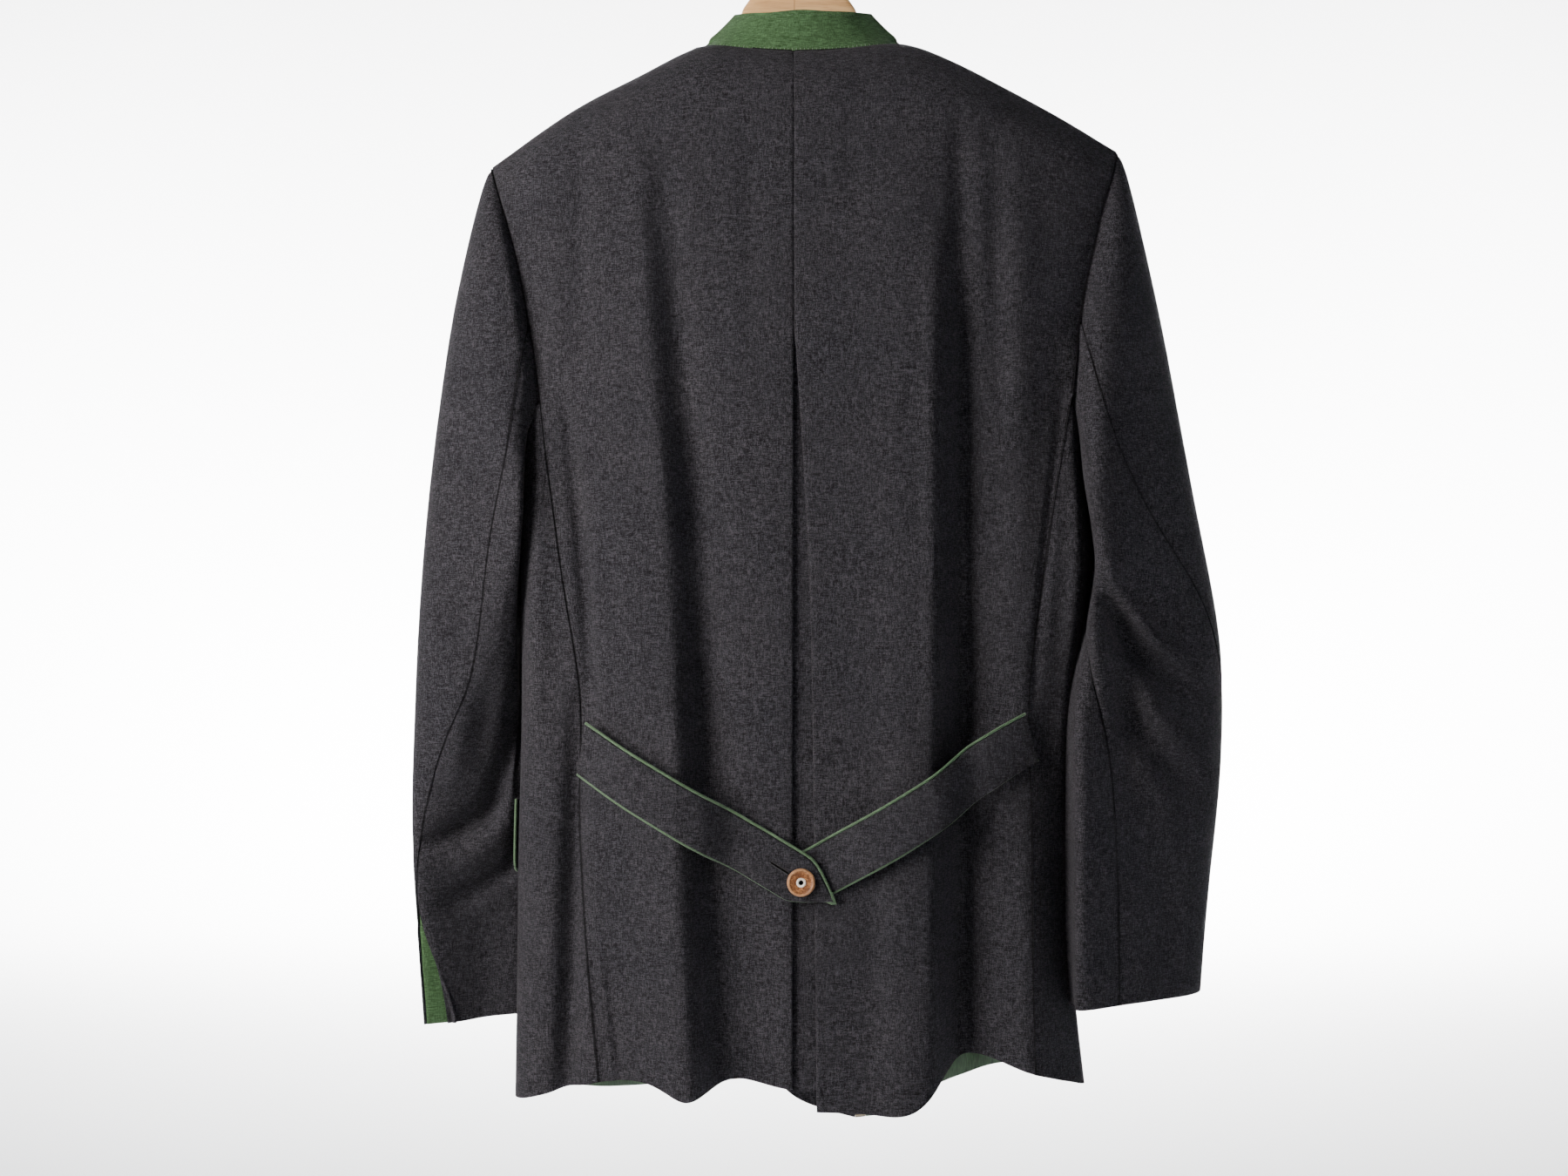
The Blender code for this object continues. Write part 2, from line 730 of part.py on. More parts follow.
def build_sides():
    grids = {}
    for side, word in SIDES.items():
        angles, drops = side_grid(side)
        grids[side] = (angles, drops, body(angles, drops), body_normal(angles, drops))
        cloth("side_" + word, grids[side][2], grids[side][3], LODEN, "charcoal wool")
    return grids


def build_fronts():
    """The fronts, and inside each the facing, the braid on its edge and the green lining."""
    grids = {}
    for side, word in SIDES.items():
        angles, drops = front_grid(side)
        normals = body_normal(angles, drops)
        outer = body(angles, drops) + normals * front_lift(side, angles)[..., None]
        part_shoulders(outer)
        grids[side] = (angles, drops, outer, normals)
        cloth("front_" + word, outer, normals, LODEN, "charcoal wool")
        inner = outer - normals * LAYER
        last = len(FRONT_NEAR) - 1
        cloth("facing_" + word, inner[:, :last + 1], normals[:, :last + 1], LODEN, "charcoal wool")
        lining = (inner - normals * SEAM)[ARMHOLE_ROWS:, last:]
        edge = lining[:, 0].copy()
        along = unit(lining[:, 1] - edge)
        lining[:, 0] += along * (BRAID_WIDE + SEAM)
        cloth("lining_" + word, lining, normals[ARMHOLE_ROWS:, last:], LINING, "green lining")
        braid = np.stack([edge + along * SEAM, edge + along * BRAID_WIDE], axis=1)
        ways = np.stack([normals[ARMHOLE_ROWS:, last]] * 2, axis=1)
        cloth("braid_" + word, braid, ways, LODEN, "striped braid")
    return grids


def armhole(side, backs, sides, fronts):
    """The armhole's points and normals: down the back, under the arm, up the front."""
    above = ARMHOLE_ROWS
    parts = [(backs[side][2][:above, -1], backs[side][3][:above, -1])]
    parts.append((sides[side][2][0], sides[side][3][0]))
    parts.append((fronts[side][2][above - 1:0:-1, -1], fronts[side][3][above - 1:0:-1, -1]))
    points = np.concatenate([p for p, _ in parts])
    normals = np.concatenate([n for _, n in parts])
    return points, normals


def sleeve_section(side, degrees, drop):
    """Points of the sleeve's level section, kept clear of the body."""
    value = {n: smooth(SLEEVE[side], SLEEVE_COLUMNS, n)(drop) for n in SLEEVE_COLUMNS[1:]}
    deep, wide = section(np.radians(degrees), SLEEVE_ROUND)
    middle = (value["inner"] + value["outer"]) / 2
    half = (value["outer"] - value["inner"]) / 2
    x = middle + half * wide
    y = value["middle"] + value["depth"] * deep + value["skew"] * wide
    room = clear_of_body[side](drop)
    deep_body = np.where(y >= 0, back_depth(drop), front_depth(drop)) + room
    reach = np.clip(1 - (np.abs(y) / deep_body) ** BODY_ROUND, 0, 1) ** (1 / BODY_ROUND)
    least = (half_width[side](drop) + room) * reach
    pushed = (x + least + np.sqrt((x - least) ** 2 + BODY_TOUCH ** 2)) / 2
    x = np.where(drop > TOUCH_TOP, pushed, x)
    return np.stack([side * x, y, -drop], axis=-1)


def crease_height(side, degrees, drop):
    """How far the sleeve's creases push its cloth out."""
    out = np.zeros_like(drop)
    here = np.stack([drop, degrees * GIRTH_A_DEGREE], axis=-1)
    for row in CREASES[side]:
        crease = dict(zip(CREASE_COLUMNS, row))
        start = np.array([crease["drop_a"], crease["degrees_a"] * GIRTH_A_DEGREE])
        run = np.array([crease["drop_b"], crease["degrees_b"] * GIRTH_A_DEGREE]) - start
        t = np.clip((here - start) @ run / (run @ run), 0, 1)
        gap = np.linalg.norm(here - start - t[..., None] * run, axis=-1)
        ends = np.sin(np.pi * (CREASE_END + (1 - 2 * CREASE_END) * t))
        out += crease["out"] * ends * np.exp(-(gap / crease["width"]) ** 2)
    return out


def build_sleeves(backs, sides, fronts):
    grids = {}
    for side, word in SIDES.items():
        loop, loop_normals = armhole(side, backs, sides, fronts)
        count = len(loop)
        hind, fore = SEAM_POINTS
        seams = {n: smooth(SLEEVE_SEAMS[side], SLEEVE_SEAM_COLUMNS, n) for n in ("hind", "fore")}
        rows = []
        shares = np.concatenate([CAP_SHARES, np.linspace(ARM_START, 1, ARM_ROWS)])
        tip_drop = -loop[0, 2]
        middle_start = (tip_drop + JOIN + ARMHOLE_DIP) / 2
        tilt_start = (JOIN + ARMHOLE_DIP - tip_drop) / 2
        index = np.arange(count)
        for number, share in enumerate(shares):
            middle = middle_start + (CUFF_DROP[side] - middle_start) * share
            hind_turn = float(seams["hind"](middle))
            fore_turn = float(seams["fore"](middle))
            under = hind_turn + (fore_turn - hind_turn) * (index - hind) / (fore - hind)
            over_index = np.where(index >= fore, index - fore, index + count - fore)
            over_count = count - fore + hind
            over = fore_turn + (hind_turn + 360 - fore_turn) * over_index / over_count
            degrees = np.where((index > hind) & (index < fore), under, over)
            tilt = -tilt_start * (1 - share) ** CAP_TILT_FADE + CUFF_TILT[side] * share
            drop = middle + tilt * np.cos(np.radians(degrees))
            ring = sleeve_section(side, degrees, drop)
            away = CAP_ROWS[number] if number < len(CAP_ROWS) else 1.0
            heights = crease_height(side, np.mod(degrees, 360), drop)
            ring = loop * (1 - away) + ring * away
            rows.append((ring, heights * away))
        grid = np.stack([ring for ring, _ in rows])
        heights = np.stack([h for _, h in rows])

        def ring_normals(points):
            round_way = np.roll(points, -1, axis=1) - np.roll(points, 1, axis=1)
            down = np.gradient(points, axis=0)
            normals = unit(np.cross(round_way, down))
            outermost = normals[len(points) // 2, 0, 0]
            return normals if outermost * side > 0 else -normals

        grid = grid + ring_normals(grid) * heights[..., None]
        normals = ring_normals(grid)
        # at the armhole the sleeve starts beside the body's edge, square to the same face
        along = unit(np.roll(loop, -1, axis=0) - np.roll(loop, 1, axis=0))
        away = unit(np.cross(loop_normals, along))
        if np.dot(away[0], np.array([side, 0, 0])) < 0:
            away = -away
        grid[0] = loop + away * ARMHOLE_ROOM
        normals[0] = loop_normals
        over_columns = [(fore + k) % count for k in range(count - fore + hind + 1)]
        under_columns = list(range(hind, fore + 1))
        for kind, columns in (("top_sleeve_", over_columns), ("under_sleeve_", under_columns)):
            part = grid[:, columns].copy()
            part[:, 0] += unit(part[:, 1] - part[:, 0]) * SEAM / 2
            part[:, -1] += unit(part[:, -2] - part[:, -1]) * SEAM / 2
            if side > 0 and kind == "under_sleeve_":
                edge_drop = -part[:, 0, 2]
                gape = VENT_GAP * ease((edge_drop - VENT_TOP) / (CUFF_DROP[side] - VENT_TOP))
                part[:, 0] += unit(part[:, 2] - part[:, 0]) * gape[:, None]
                part[:, 1] += unit(part[:, 3] - part[:, 1]) * gape[:, None] / 2
            cloth(kind + word, part, normals[:, columns], LODEN, "charcoal wool")
        grids[side] = (grid, normals, hind)
    return grids


def build_vent(sleeves):
    """The green facing that shows where the left cuff's vent gapes."""
    grid, normals, hind = sleeves[1]
    first = int(np.argmax(-grid[:, hind, 2] > VENT_TOP - 20))
    strip = slice(hind - 1, hind + 3)
    ways = normals[first:, strip]
    inner = grid[first:, strip] - ways * (LAYER + VENT_ROOM)
    cloth("vent_facing_left", inner, ways, LINING, "green linen")


def build_collar(backs, fronts):
    """A standing band on the neckline, leaning in to the neck."""
    points, normals = [], []
    back_count = len(PLEAT_STEPS) + 2
    front_neck = slice(FRONT_NEAR.index(0), len(FRONT_NEAR) + 1)
    for side in (1, -1):
        f_points, f_normals = fronts[side][2][0, front_neck], fronts[side][3][0, front_neck]
        b_points = backs[side][2][0, back_count - 1::-1]
        b_normals = backs[side][3][0, back_count - 1::-1]
        run = np.concatenate([f_points, b_points])
        run_normals = np.concatenate([f_normals, b_normals])
        points.append(run[::side])
        normals.append(run_normals[::side])
    base = np.concatenate(points)
    base_normals = np.concatenate(normals)
    away = unit(np.cross(base_normals, np.gradient(base, axis=0)))
    if away[len(base) // 2, 2] < 0:
        away = -away
    base = base + away * 2 * SEAM
    centre_x = (NECK[1] - NECK[-1]) / 2
    to_side = np.abs(base[:, 0] - centre_x) / ((NECK[1] + NECK[-1]) / 2)
    rise = np.where(base[:, 1] > 0, COLLAR_RISE_BACK, COLLAR_RISE_FRONT)
    rise = rise + (COLLAR_RISE_SIDE - rise) * ease(to_side)
    rows = []
    for share in COLLAR_ROWS:
        lean = share ** COLLAR_BEND
        x = centre_x + (base[:, 0] - centre_x) * (1 - (1 - COLLAR_LEAN_SIDE) * lean)
        y = base[:, 1] * (1 - (1 - COLLAR_LEAN_DEEP) * lean)
        z = base[:, 2] + rise * share
        rows.append(np.stack([x, y, z], axis=-1))
    grid = np.stack(rows)
    down = np.gradient(grid, axis=0)
    along = np.gradient(grid, axis=1)
    ways = unit(np.cross(down, along))
    if ways[1, grid.shape[1] // 2, 1] < 0:
        ways = -ways
    ways[0] = base_normals
    cloth("collar", grid, ways, COLLAR_WALL, "green linen")


def surface_tree(names):
    """The given objects' faces, for finding the cloth under a point."""
    points, faces = [], []
    for name in names:
        mesh = bpy.data.objects[name].data
        start = len(points)
        points.extend(v.co / MM for v in mesh.vertices)
        faces.extend(tuple(start + i for i in f.vertices) for f in mesh.polygons)
    return BVHTree.FromPolygons(points, faces)


def lift_over(tree, angle, drop, room):
    """How far the cloth stands above the body's plain form, at most room millimetres round a place."""
    reach = RAY_REACH
    best = -reach
    for aside in (-room, 0, room):
        for down in (-room, 0, room):
            turned = angle + aside / BODY_RADIUS
            start = body(turned, drop + down, False)
            way = body_normal(turned, drop + down, False)
            hit = tree.ray_cast(Vector(start + way * reach), Vector(-way), 2 * reach)
            if hit[0] is not None:
                best = max(best, reach - hit[3])
    return best


def laid_on(tree, angles, drops, wall):
    """A grid of points laid over the cloth, bridging its folds, and the ways out of it."""
    lifts = np.array([
        [lift_over(tree, angle, drop, STRAP_BRIDGE) for angle, drop in zip(*row)]
        for row in zip(angles, drops)
    ])
    for _ in range(2):
        # each point is held up by its neighbours down and then across
        near = np.pad(lifts, ((1, 1), (0, 0)), mode="edge")
        lifts = np.maximum(lifts, np.maximum(near[:-2], near[2:]) - BRIDGE_SAG).T
    normals = body_normal(angles, drops, False)
    points = body(angles, drops, False) + normals * (lifts + LAID + wall)[..., None]
    return points, normals


def rod_faces(count, sides):
    """Faces of a closed rod of count rings."""
    faces = []
    for i in range(count - 1):
        for k in range(sides):
            n = (k + 1) % sides
            faces.append((i * sides + k, i * sides + n, (i + 1) * sides + n, (i + 1) * sides + k))
    faces.append(tuple(range(sides))[::-1])
    last = (count - 1) * sides
    faces.append(tuple(last + k for k in range(sides)))
    return faces


def tube(name, path, radius, sides, finish_name):
    """A round rod along a path of points."""
    path = np.asarray(path, float)
    ways = unit(np.gradient(path, axis=0))
    side_way = np.array([0.0, 1.0, 0.0])
    points = []
    for p, w in zip(path, ways):
        a = unit(side_way - w * np.dot(side_way, w))
        b = np.cross(w, a)
        for k in range(sides):
            turn = 2 * math.pi * k / sides
            points.append(p + radius * (a * math.cos(turn) + b * math.sin(turn)))
    return solid(name, points, rod_faces(len(path), sides), finish_name)


def strap_line(side, count):
    """Even points along a strap's centre line, with the way across it."""
    knots = np.array(STRAPS[side], float)
    lengths = np.concatenate([[0], np.cumsum(np.linalg.norm(np.diff(knots, axis=0), axis=1))])
    at = np.linspace(0, lengths[-1], count)
    line = np.stack([np.interp(at, lengths, knots[:, k]) for k in (0, 1)], axis=-1)
    for _ in range(2):
        line[1:-1] = (line[:-2] + 2 * line[1:-1] + line[2:]) / 4
    run = unit(np.gradient(line, axis=0))
    across = np.stack([run[:, 1], -run[:, 0]], axis=-1) * side
    return line, run, across


def build_belt():
    """Two straps from the side-back seams, the left one buttoned over the right, with piped edges."""
    under = ["back_left", "back_right", "side_left", "side_right", "pleat_underlay"]
    for side, word in ((-1, "right"), (1, "left")):
        tree = surface_tree(under)
        line, run, across = strap_line(side, STRAP_STEPS)
        shares = np.linspace(-1, 1, STRAP_COLUMNS)
        spots = line[:, None] + across[:, None] * (shares * STRAP_HALF)[None, :, None]
        spots[0] += run[0] * (STRAP_CUTS[side] * shares)[:, None]
        if side > 0:
            spots[-1] += run[-1] * (STRAP_POINT * (1 - np.abs(shares)))[:, None]
        angles = angle_at(spots[..., 0], spots[..., 1], False)
        points, normals = laid_on(tree, angles, spots[..., 1], STRAP_WALL)
        cloth("belt_" + word, points, normals, STRAP_WALL, "charcoal wool")
        middle = points - normals * STRAP_WALL / 2
        upward = unit(middle[:, 0] - middle[:, -1]) * PIPING_OUT
        top = middle[:, 0] + upward
        low = middle[:, -1] - upward
        if side > 0:
            ahead = unit(middle[-1] - middle[-2]) * PIPING_OUT
            point = middle[-1, 1:-1] + ahead[1:-1] * POINT_OUT
            corners = (top[-1:] + ahead[0], low[-1:] + ahead[-1])
            path = np.concatenate([top[:-1], corners[0], point, corners[1], low[-2::-1]])
            tube("belt_left_piping", path, PIPING, TUBE_SIDES, "green piping")
        else:
            tube("belt_right_piping_top", top, PIPING, TUBE_SIDES, "green piping")
            tube("belt_right_piping_low", low, PIPING, TUBE_SIDES, "green piping")
            under += ["belt_right", "belt_right_piping_top", "belt_right_piping_low"]


def button(name, centre_point, way, radius, thick):
    """A turned horn disc with a raised rim, its back face square to way."""
    way = unit(way)
    a = unit(np.cross(way, [0.0, 0.0, 1.0]))
    b = np.cross(way, a)
    points, faces = [], []
    rings = []
    sides = BUTTON_SIDES
    for reach, height in BUTTON_PROFILE:
        level = centre_point + way * height * thick
        if reach == 0:
            rings.append([len(points)])
            points.append(level)
            continue
        rings.append(list(range(len(points), len(points) + sides)))
        for k in range(sides):
            turn = 2 * math.pi * k / sides
            points.append(level + radius * reach * (a * math.cos(turn) + b * math.sin(turn)))
    for low, high in zip(rings, rings[1:]):
        for k in range(sides):
            n = (k + 1) % sides
            if len(low) == 1:
                faces.append((low[0], high[n], high[k]))
            elif len(high) == 1:
                faces.append((low[k], low[n], high[0]))
            else:
                faces.append((low[k], low[n], high[n], high[k]))
    item = solid(name, points, faces, "stag horn")
    turn_outward(item)
    return item


def turn_outward(item):
    """All faces of a closed body point out."""
    work = bmesh.new()
    work.from_mesh(item.data)
    bmesh.ops.recalc_face_normals(work, faces=work.faces)
    work.to_mesh(item.data)
    work.free()


def seat(tree, x, drop, radius, front):
    """The place and way of a disc that rests on the cloth at x and drop."""
    angle = float(angle_at(x, drop, front))
    way = body_normal(angle, drop, False)
    lift = lift_over(tree, angle, drop, radius * BUTTON_REST)
    return body(angle, drop, False) + way * (lift + LAID), way


def build_buttons():
    tree = surface_tree(("belt_left",))
    place, way = seat(tree, BELT_BUTTON[0], BELT_BUTTON[1], BUTTON_RADIUS, False)
    button("belt_button", place, way, BUTTON_RADIUS, BUTTON_THICK)
    tree = surface_tree(("front_left",))
    for number, drop in enumerate(FRONT_BUTTONS, start=1):
        place, way = seat(tree, 0.0, drop, BUTTON_RADIUS, True)
        button("front_button_%d" % number, place, way, BUTTON_RADIUS, BUTTON_THICK)


def build_flaps():
    """Pocket flaps at the hips, piped on their free edges."""
    tree = surface_tree(("front_left", "front_right", "side_left", "side_right"))
    for side, word in SIDES.items():
        turns = np.radians(np.linspace(FLAP_ANGLES[0], FLAP_ANGLES[1], FLAP_COLUMNS)) * side
        levels = np.linspace(0, 1, FLAP_ROWS)[:, None]
        bow = FLAP_BOW * np.sin(np.pi * np.linspace(0, 1, FLAP_COLUMNS))
        drops = FLAP_TOP + levels * (FLAP_HIGH + bow)
        points, normals = laid_on(tree, np.broadcast_to(turns, drops.shape), drops, STRAP_WALL)
        cloth("flap_" + word, points, normals, STRAP_WALL, "charcoal wool")
        middle = points - normals * STRAP_WALL / 2
        down = unit(middle[-1] - middle[-2]) * PIPING_OUT
        hind = middle[:, 0] + unit(middle[:, 0] - middle[:, 1]) * PIPING_OUT
        fore = middle[:, -1] + unit(middle[:, -1] - middle[:, -2]) * PIPING_OUT
        low = middle[-1] + down
        corners = (hind[-1] + down[0] * CORNER_OUT, fore[-1] + down[-1] * CORNER_OUT)
        path = np.concatenate([hind[:-1], corners[:1], low[1:-1], corners[1:], fore[-2::-1]])
        tube("flap_%s_piping" % word, path, PIPING, TUBE_SIDES, "green piping")


def hanger_ring(x):
    """One ring of the hanger's wood: slim below the collar, wide at the shoulders, round at its ends."""
    share = abs(x) / HANGER_REACH
    hump = float(np.interp(abs(x), *zip(*HUMP_LINE)))
    gap = HANGER_GAP + NECK_GAP * ease((NECK_GAP_END - abs(x)) / NECK_GAP_FADE)
    top = float(ridge(x)) + gap
    top = top + (HUMP_TOP - top) * hump
    low = float(ridge(x)) + HANGER_GAP + HANGER_HIGH * (1 - HANGER_TAPER * share ** 3)
    past = max(0.0, share - END_START) / (1 - END_START)
    end = math.sqrt(max(END_LEAST ** 2, 1 - past ** 2))
    deep = (HANGER_SLIM + (HANGER_WIDE - HANGER_SLIM) * ease((share - WIDE_START) / WIDE_FADE)) * end
    high = (low - top) / 2 * (1 + end) / 2
    middle = (top + low) / 2
    turns = np.linspace(0, 2 * math.pi, HANGER_SIDES, endpoint=False)
    across, up = section(turns, HANGER_ROUND)
    return [(x, deep * float(a), high * float(u) - middle) for a, u in zip(across, up)]


def build_hanger():
    """A shaped wooden hanger inside the shoulders, and its steel hook."""
    arm = np.linspace(HUMP_HALF + 10, HANGER_REACH, HANGER_RINGS)
    half = np.array([across for across, _ in HUMP_LINE], float)
    xs = np.concatenate([-arm[::-1], -half[:0:-1], half, arm])
    points = [point for x in xs for point in hanger_ring(x)]
    turn_outward(solid("hanger", points, rod_faces(len(xs), HANGER_SIDES), "beech"))
    ring = HOOK_RADIUS + WIRE
    path = [(0, 0, -HUMP_TOP + SEAM), (0, 0, -HUMP_TOP + 8), (0, 0, -HOOK_RADIUS - ring - 2)]
    for turn in np.radians(np.arange(*HOOK_DEGREES)):
        path.append((ring * math.cos(turn), 0, -HOOK_RADIUS + ring * math.sin(turn)))
    tube("hook", path, WIRE, HOOK_SIDES, "steel")


def build():
    clear_scene()
    backs = build_backs()
    sides = build_sides()
    fronts = build_fronts()
    sleeves = build_sleeves(backs, sides, fronts)
    build_vent(sleeves)
    build_collar(backs, fronts)
    build_belt()
    build_flaps()
    build_buttons()
    build_hanger()


build()
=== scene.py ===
"""Tyrolean loden jacket on a wooden hanger: cloth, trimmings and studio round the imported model."""

import math

import bmesh
import bpy
import numpy as np
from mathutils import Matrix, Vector, kdtree
from mathutils.bvhtree import BVHTree


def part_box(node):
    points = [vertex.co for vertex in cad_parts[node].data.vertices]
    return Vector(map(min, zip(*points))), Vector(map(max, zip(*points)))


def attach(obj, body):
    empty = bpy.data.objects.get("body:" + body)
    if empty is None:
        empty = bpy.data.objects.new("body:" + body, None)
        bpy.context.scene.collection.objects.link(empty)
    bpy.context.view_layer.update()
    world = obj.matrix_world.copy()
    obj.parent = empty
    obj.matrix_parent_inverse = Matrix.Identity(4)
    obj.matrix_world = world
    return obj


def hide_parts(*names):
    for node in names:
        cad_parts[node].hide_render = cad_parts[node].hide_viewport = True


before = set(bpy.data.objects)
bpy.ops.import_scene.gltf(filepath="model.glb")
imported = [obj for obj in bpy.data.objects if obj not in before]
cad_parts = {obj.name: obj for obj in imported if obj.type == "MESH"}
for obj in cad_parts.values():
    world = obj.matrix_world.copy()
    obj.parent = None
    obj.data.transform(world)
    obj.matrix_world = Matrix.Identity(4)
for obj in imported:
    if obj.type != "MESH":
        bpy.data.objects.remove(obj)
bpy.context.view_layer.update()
MM = 0.001

# Camera: level with the middle of the jacket's back, straight behind it, at about 1.7 m.
# A plain 53 mm lens, so that the shoulders and cuffs keep their natural sizes.
LENS = 53.125
SENSOR_WIDE = 36.0
SEES_TO = 60.0
CAMERA_PLACE = (0.0115, 1.765, -0.519)
camera_data = bpy.data.cameras.new("camera")
camera_data.sensor_width = SENSOR_WIDE
camera_data.lens = LENS
camera_data.clip_end = SEES_TO
camera = bpy.data.objects.new("camera", camera_data)
camera.location = CAMERA_PLACE
camera.rotation_euler = (math.pi / 2, 0.0, math.pi)
bpy.context.scene.collection.objects.link(camera)
bpy.context.scene.camera = camera

# Studio: a round pale floor that sweeps up into a pale wall on every side, painted matt.
# A soft warm window stands at the jacket's left and a dim fill in front; washes light the wall.
FLOOR_DROP = 1.22
FLOOR_MIDDLE = 0.02
FLOOR_FLAT = 3.2
SWEEP = 2.6
WALL_TOP = 6.0
SWEEP_STEPS = 12
STUDIO_SIDES = 96
studio = bmesh.new()
profile = [(FLOOR_MIDDLE, 0.0), (FLOOR_FLAT / 2, 0.0)]
for step in range(SWEEP_STEPS + 1):
    turn = math.radians(90 * step / SWEEP_STEPS)
    profile.append((FLOOR_FLAT + SWEEP * math.sin(turn), SWEEP * (1 - math.cos(turn))))
profile.append((FLOOR_FLAT + SWEEP, WALL_TOP))
rings = []
for reach, height in profile:
    ring = []
    for k in range(STUDIO_SIDES):
        turn = 2 * math.pi * k / STUDIO_SIDES
        x, y = reach * math.cos(turn), reach * math.sin(turn)
        ring.append(studio.verts.new((x, y, height - FLOOR_DROP)))
    rings.append(ring)
studio.faces.new(rings[0])
for low, high in zip(rings, rings[1:]):
    for k in range(STUDIO_SIDES):
        n = (k + 1) % STUDIO_SIDES
        studio.faces.new((low[k], low[n], high[n], high[k]))
studio_mesh = bpy.data.meshes.new("studio_floor")
studio.to_mesh(studio_mesh)
studio.free()
studio_mesh.shade_smooth()
floor = bpy.data.objects.new("studio_floor", studio_mesh)
bpy.context.scene.collection.objects.link(floor)


def new_finish(name, colour, roughness):
    """A Principled material and its node tree, in its plain state."""
    made = bpy.data.materials.new(name)
    made.use_nodes = True
    shader = made.node_tree.nodes["Principled BSDF"]
    shader.inputs["Base Color"].default_value = (*colour, 1.0)
    shader.inputs["Roughness"].default_value = roughness
    return made, made.node_tree, shader


def set_sockets(shader, **values):
    """Plain values on a shader's own sockets; an underscore stands for a space."""
    for key, value in values.items():
        shader.inputs[key.replace("_", " ")].default_value = value


studio_paint, _, paint_shader = new_finish("studio paint", (0.7, 0.7, 0.704), 0.95)
set_sockets(paint_shader, Specular_IOR_Level=0.1)
floor.data.materials.append(studio_paint)

world = bpy.data.worlds.new("studio air")
world.use_nodes = True
set_sockets(world.node_tree.nodes["Background"], Color=(0.92, 0.98, 1.1, 1.0), Strength=0.02)
bpy.context.scene.world = world

WHITE = (1.0, 1.0, 1.0)
# Each lamp's name, place, aim, size, watts, tint and spread in degrees
LAMPS = (
    ("window", (1.22, 0.92, -0.2), (0.0, 0.0, -0.4), (0.8, 1.2), 21.0, (1.0, 0.94, 0.90), 100.0),
    ("front_fill", (0.4, -3.0, 0.8), (0.0, 0.0, -0.5), (1.5, 1.5), 42.0, (0.93, 0.98, 1.04), 90.0),
    ("wall_wash_left", (3.0, -2.2, 1.6), (0.8, -5.2, -0.6), (1.4, 1.4), 545.0, WHITE, 90.0),
    ("floor_wash", (0.0, -3.0, 1.6), (0.0, -3.2, -1.2), (2.4, 1.6), 430.0, WHITE, 100.0),
    ("wall_wash_right", (-3.0, -2.2, 1.6), (-0.8, -5.2, -0.6), (1.4, 1.4), 545.0, WHITE, 90.0),
)
for name, place, aim, size, watts, tint, spread in LAMPS:
    data = bpy.data.lights.new(name, "AREA")
    data.shape = "RECTANGLE"
    data.size, data.size_y = size
    data.energy = watts
    data.color = tint
    data.spread = math.radians(spread)
    lamp = bpy.data.objects.new(name, data)
    lamp.location = place
    lamp.rotation_euler = (Vector(aim) - Vector(place)).to_track_quat("-Z", "Y").to_euler()
    lamp.visible_camera = False
    bpy.context.scene.collection.objects.link(lamp)

# Back: two panels of charcoal melange wool, seamed down the middle to a deep pleat.
# The cloth is cut in one from shoulder to hem, sewn with its edges turned in and pressed.
WALL_EDGE = math.radians(70)  # edges of the cloth's wall are sharper than any fold
EDGE_ROUND = 0.6 * MM  # how round a sewn edge is
QUAD_FLAT = math.radians(59)
SAME_SPOT = 0.02 * MM
FINE_ROUNDS = 3
PLAIN_ROUNDS = 2
BODY_CLOTHS = ("back_left", "back_right", "side_left", "side_right", "front_left", "front_right")
SLEEVE_CLOTHS = ("top_sleeve_left", "under_sleeve_left", "top_sleeve_right", "under_sleeve_right")
FINE_CLOTHS = ("collar", "hook", *BODY_CLOTHS, *SLEEVE_CLOTHS)


def knot(tree, kind, **values):
    """A node with its properties and plain socket values set."""
    made = tree.nodes.new(kind)
    for key, value in values.items():
        if hasattr(made, key):
            setattr(made, key, value)
        else:
            made.inputs[key.replace("_", " ")].default_value = value
    return made


def grain(tree, marks, detail, rough, slant=0.0, distortion=0.0):
    """Noise on the object's own metres: marks a metre along its three axes."""
    place = knot(tree, "ShaderNodeTexCoord")
    scaled = knot(
        tree, "ShaderNodeMapping", Scale=marks, Rotation=(0.0, math.radians(slant), 0.0),
    )
    noise = knot(
        tree, "ShaderNodeTexNoise",
        Scale=1.0, Detail=detail, Roughness=rough, Distortion=distortion,
    )
    tree.links.new(place.outputs["Object"], scaled.inputs["Vector"])
    tree.links.new(scaled.outputs["Vector"], noise.inputs["Vector"])
    return noise.outputs["Fac"]


def ramp(tree, source, stops):
    """A colour ramp of (position, colour) stops on a source."""
    made = knot(tree, "ShaderNodeValToRGB")
    marks = made.color_ramp.elements
    while len(marks) < len(stops):
        marks.new(0.5)
    for mark, (position, colour) in zip(marks, stops):
        mark.position = position
        mark.color = (*colour, 1.0)
    tree.links.new(source, made.inputs["Fac"])
    return made.outputs["Color"]


def sums(tree, first, second, kind="ADD"):
    """A sum, or another reckoning, of two values."""
    made = knot(tree, "ShaderNodeMath", operation=kind)
    for socket, value in zip(made.inputs, (first, second)):
        if isinstance(value, (int, float)):
            socket.default_value = value
        else:
            tree.links.new(value, socket)
    return made.outputs["Value"]


